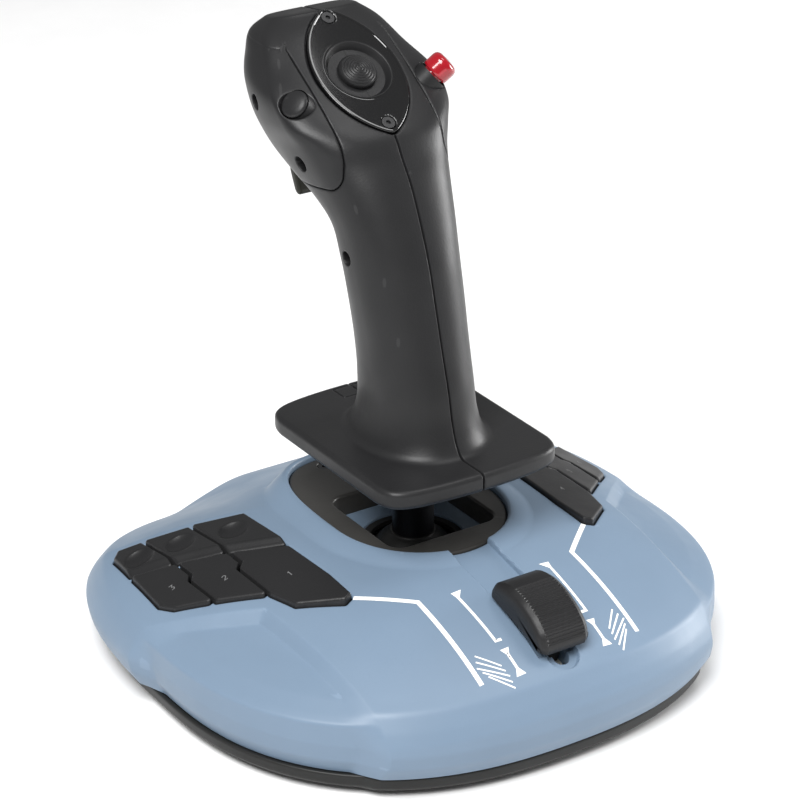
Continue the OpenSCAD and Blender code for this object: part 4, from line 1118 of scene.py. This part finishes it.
def make_hat():
    t = np.linspace(0, TAU, 361)
    up, down = 0.8, -1.4
    rows = [(leaf_r(t, -0.4), down), (leaf_r(t, 0), down + 0.2), (leaf_r(t, 0), up - 0.45)]
    for a in np.linspace(0, QUARTER, 6)[1:]:
        rows.append((leaf_r(t, -0.45 + 0.45 * math.cos(a)), up - 0.45 + 0.45 * math.sin(a)))
    rows += [(leaf_r(t, -0.95), up), (leaf_r(t, -1.15), up - 0.18)]
    outer, inner = leaf_r(t, -1.15), np.full_like(t, 11.7)
    for k in np.linspace(0, 1, 22)[1:]:
        rows.append((outer * (1 - k) + inner * k, up - 0.18))
    dish = rounded_profile([(11.7, up - .18), (11.3, up), (11.0, .7), (9.8, -1.2), (8.6, -2.8), (6.9, -3.8),
                            (5, -4.2), (3.6, -4.2), (3.6, -6)], 0.7, 3)
    for r, z in dish[1:]:
        rows.append((np.full_like(t, r), z))
    skin = Skin(ring_grid(t, rows), flip=True)

    def screw(p):
        d = np.minimum(np.hypot(p[:, 0], p[:, 1] - 22), np.hypot(p[:, 0], p[:, 1] + 21.5))
        return np.where(p[:, 2] > 0, d, 50)

    skin.cut(screw, 2.25, 2.35, 2.8)
    p, tris, _, _ = skin.mesh()
    d = screw(p)
    p[:, 2] -= np.where(d < 2.3, 1.1, round_over(d - 2.35, 0.45) * (d < 2.8))

    def which(m):
        local = to_hat(m)
        return (np.hypot(local[:, 0], local[:, 1]) < 11.35).astype(int)

    piece("hat_plate_skin", from_hat(p), tris, ("gloss_black", "switch_black"), "handle", ["hat_plate"],
          "gloss_black", face_look=which)
    profile = [(1.9, -8.6), (1.9, -2.6), (5.4, -2.6), (6.3, -1.7), (6.5, -1.2), (6.5, -.3), (6.3, .35)]
    for r in np.linspace(6.0, 0.6, 46):
        z = 2.0 - 1.15 * (r / 6.0) ** 2.2
        ridge = 0.11 * math.cos(TAU * r / 0.92) if r < 5.9 else 0
        profile.append((r, z - 0.11 + ridge))
    profile.append((0, 1.9))
    revolve("hat_cap_skin", profile, 96, from_hat, "switch_black", "hat", ["hat_cap"], "black_plastic")


def make_head_buttons():
    x = unit(np.cross([0, 0, 1.0], AXIS))
    y = np.cross(AXIS, x)
    red_top = [(4.6, 0.4), (4.8, 1), (4.8, 4.6), (4.4, 5.7), (3.3, 6.4), (0, 6.7)]
    red = [(3.5, -6.8), (3.5, 0.2), (4.4, 0.3)] + rounded_profile(red_top, 0.8, 4).tolist()
    black_top = [(4.5, -2.4), (4.65, -2), (4.65, .3), (4.2, .85), (3.2, 1.3), (1.6, 1.6), (0, 1.7)]
    black = [(3.5, -6.8), (3.5, -2.5)] + rounded_profile(black_top, 0.6, 4).tolist()

    def place(side):
        m = np.stack([x, y, AXIS], 1)
        return lambda q: (q @ m.T + BUTTON_AT) * [side, 1, 1]

    revolve("red_button_skin", red, 96, place(1), "red_gloss", "red_button", ["red_head_button"], "red_gloss")
    revolve("left_button_skin", black, 96, place(-1), "black_plastic", "left_button", ["left_head_button"],
            "black_plastic", flip=True)


TRIGGER_SIDE = [
    (57.2, 176), (57.2, 170.6), (59.6, 170.6), (60.4, 172.2), (64, 169.6), (66.4, 164), (67.2, 157),
    (66.0, 149), (63.2, 142), (64.6, 140.4), (66.6, 141.4), (69.8, 148), (71.4, 157), (70.8, 167),
    (68, 174.6), (65, 178.6), (61.5, 181.4), (58.4, 180.2)]


def make_trigger():
    ring = even(rounded_profile(TRIGGER_SIDE + TRIGGER_SIDE[:1], 1.6, 4), 240, True)
    direction = unit(np.roll(ring, -1, 0) - np.roll(ring, 1, 0))
    outward = np.stack([direction[:, 1], -direction[:, 0]], 1)
    area = np.sum(ring[:, 0] * np.roll(ring[:, 1], -1) - ring[:, 1] * np.roll(ring[:, 0], -1))
    outward *= 1 if area > 0 else -1
    ring = np.vstack([ring, ring[:1]])
    outward = np.vstack([outward, outward[:1]])
    r, half = 1.2, 3.9
    turns = np.linspace(0, QUARTER, 5)
    rows = [(-half + r - r * math.cos(a), -r + r * math.sin(a)) for a in turns]
    rows += [(half - r + r * math.sin(a), -r + r * math.cos(a)) for a in turns]
    sheets = []
    for x, d in rows:
        q = ring + outward * d
        sheets.append(np.stack([np.full(len(q), x), q[:, 0], q[:, 1]], 1))
    grid = np.stack(sheets, 1)
    tris = grid_tris(*grid.shape[:2])
    # flat sides
    m = grid.shape[1]
    for column in (0, m - 1):
        faces = tessellate_polygon([[Vector((a, b, 0)) for a, b in grid[:-1, column, 1:]]])
        tris = np.vstack([tris, np.array(faces) * m + column])
    piece("trigger_skin", grid.reshape(-1, 3), tris, "trigger_olive", "trigger_blade", ["trigger"],
          "trigger_olive")


# ---------- printed marks ----------

def on_surface(tree, x, y):
    hit = tree.ray_cast(Vector((x * MM, y * MM, 0.2)), Vector((0, 0, -1)))
    return hit[0].z / MM if hit[0] is not None else float(dome(x, y))


def print_strip(tree, rows):
    """Plane points (n, k, 2) laid on the base, and their triangles."""
    flat = rows.reshape(-1, 2)
    z = np.array([on_surface(tree, x, y) for x, y in flat]) + 0.05
    grid = np.concatenate([flat, z[:, None]], 1).reshape(*rows.shape[:2], 3)
    tris = grid_tris(*grid.shape[:2])
    if np.cross(grid[1, 0] - grid[0, 0], grid[0, 1] - grid[0, 0])[2] < 0:
        tris = tris[:, ::-1]
    return grid.reshape(-1, 3), tris


def triangle(a, b, c, n=5):
    a, b, c = (np.asarray(q, float) for q in (a, b, c))
    rows = []
    for i in range(n + 1):
        p, q = a + (b - a) * i / n, a + (c - a) * i / n
        rows.append([p, (p + q) / 2, q])
    return np.array(rows)


def make_marks(tree):
    """Line, travel arrow and hatching on each side of the slider."""
    shapes = [strip([(45.2, -34.2), (30, -48.2), (30, -84)], 1.6),
              strip([(18.0, -51.5), (17.5, -73.2), (15.4, -73.4)], 1.0),
              triangle((18.2, -54.2), (19.0, -50.4), (15.2, -50.4)),
              strip([(16.6, -78), (16.6, -84)], 1.0),
              triangle((16.6, -79.6), (18.2, -76.6), (15.0, -76.6)),
              triangle((16.6, -83.0), (18.4, -86.2), (14.8, -86.2))]
    for k in range(5):
        y = -77.4 - 1.9 * k
        shapes.append(strip([(28.4 - 0.9 * abs(k - 2), y + 2.4), (20.2 + 0.3 * abs(k - 2), y - 3.9)], 0.5))
    for word, side in (("left", -1), ("right", 1)):
        points, tris, count = [], [], 0
        for rows in shapes:
            p, t = print_strip(tree, rows * [side, 1])
            points.append(p)
            tris.append(t + count)
            count += len(p)
        piece(f"{word}_base_marks", np.vstack(points), np.vstack(tris), "print_white", "base", sharp=180)


# ---------- carried-over CAD nodes ----------

def dress_cad():
    """Gives the CAD nodes that show, or that hide inside, the same looks."""
    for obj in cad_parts.values():
        for slot in obj.material_slots:
            if slot.material and slot.material.name.split(".")[0] in LOOKS:
                slot.material = LOOKS[slot.material.name.split(".")[0]]


# ---------- stage ----------

FLOOR_HALF, FLOOR_CELLS = 4.0, 8
WORLD_LIGHT = 0.3
# name, place, size and power; turn is about z, and a light without one faces the object
LIGHTS = [("key", (-0.8, -0.6, 1.45), 0.9, 40, None), ("side", (1.2, -0.25, 0.3), 0.5, 12, None),
          ("top", (0.505, -0.18, 1.5), 0.5, 4.5, 12)]


def make_stage():
    n = FLOOR_CELLS
    mesh = bpy.data.meshes.new("floor")
    xs = np.linspace(-FLOOR_HALF, FLOOR_HALF, n + 1)
    points = [(x, y, 0) for x in xs for y in xs]
    faces = [(i * (n + 1) + j, (i + 1) * (n + 1) + j, (i + 1) * (n + 1) + j + 1, i * (n + 1) + j + 1)
             for i in range(n) for j in range(n)]
    mesh.from_pydata(points, [], faces)
    mesh.materials.append(FLOOR)
    floor = bpy.data.objects.new("floor", mesh)
    bpy.context.scene.collection.objects.link(floor)
    world = bpy.data.worlds.new("world")
    bpy.context.scene.world = world
    world.use_nodes = True
    world.node_tree.nodes["Background"].inputs["Color"].default_value = (1, 1, 1, 1)
    world.node_tree.nodes["Background"].inputs["Strength"].default_value = WORLD_LIGHT
    for name, place, size, power, turn in LIGHTS:
        light = bpy.data.lights.new(name, "AREA")
        light.energy = power
        light.size = size
        obj = bpy.data.objects.new(name, light)
        obj.location = place
        if turn is not None:
            obj.rotation_euler = (0, 0, math.radians(turn))
        else:
            obj.rotation_euler = (Vector((0, 0, 0.1)) - Vector(place)).to_track_quat("-Z", "Y").to_euler()
        bpy.context.scene.collection.objects.link(obj)


PICTURE, SENSOR = 800, 36


def make_camera():
    a, e = math.radians(-33.2), math.radians(25.8)
    right = Vector((math.cos(a), math.sin(a), 0))
    back = Vector((math.sin(a) * math.cos(e), -math.cos(a) * math.cos(e), math.sin(e)))
    up = back.cross(right)
    # focal length in pixels, and where the axis point at height look_z falls in the picture
    focal, look_z, u, v = 2900.0, 42.3, 413, 528
    scale = 3.0   # pixels to the millimetre there
    half = PICTURE / 2
    place = (Vector((0, 0, look_z)) + back * (focal / scale) - right * ((u - half) / scale)
             + up * ((v - half) / scale))
    cam = bpy.data.cameras.new("camera")
    cam.sensor_width = SENSOR
    cam.lens = focal * SENSOR / PICTURE
    cam.clip_end = 20
    obj = bpy.data.objects.new("camera", cam)
    rotation = Matrix((right, up, back)).transposed().to_4x4()
    obj.matrix_world = Matrix.Translation(place * MM) @ rotation
    bpy.context.scene.collection.objects.link(obj)
    bpy.context.scene.camera = obj


make_camera()
shell = make_base().data
make_bottom()
make_cover()
for number in range(6):
    make_key(number, -1)
    make_key(number, 1)
make_knob()
make_stick()
make_grip(-1)
make_grip(1)
make_hat()
make_head_buttons()
make_trigger()
bpy.context.view_layer.update()
make_marks(BVHTree.FromPolygons([v.co.copy() for v in shell.vertices],
                                [tuple(p.vertices) for p in shell.polygons]))
dress_cad()
make_stage()
bpy.context.scene.view_settings.view_transform = "Standard"
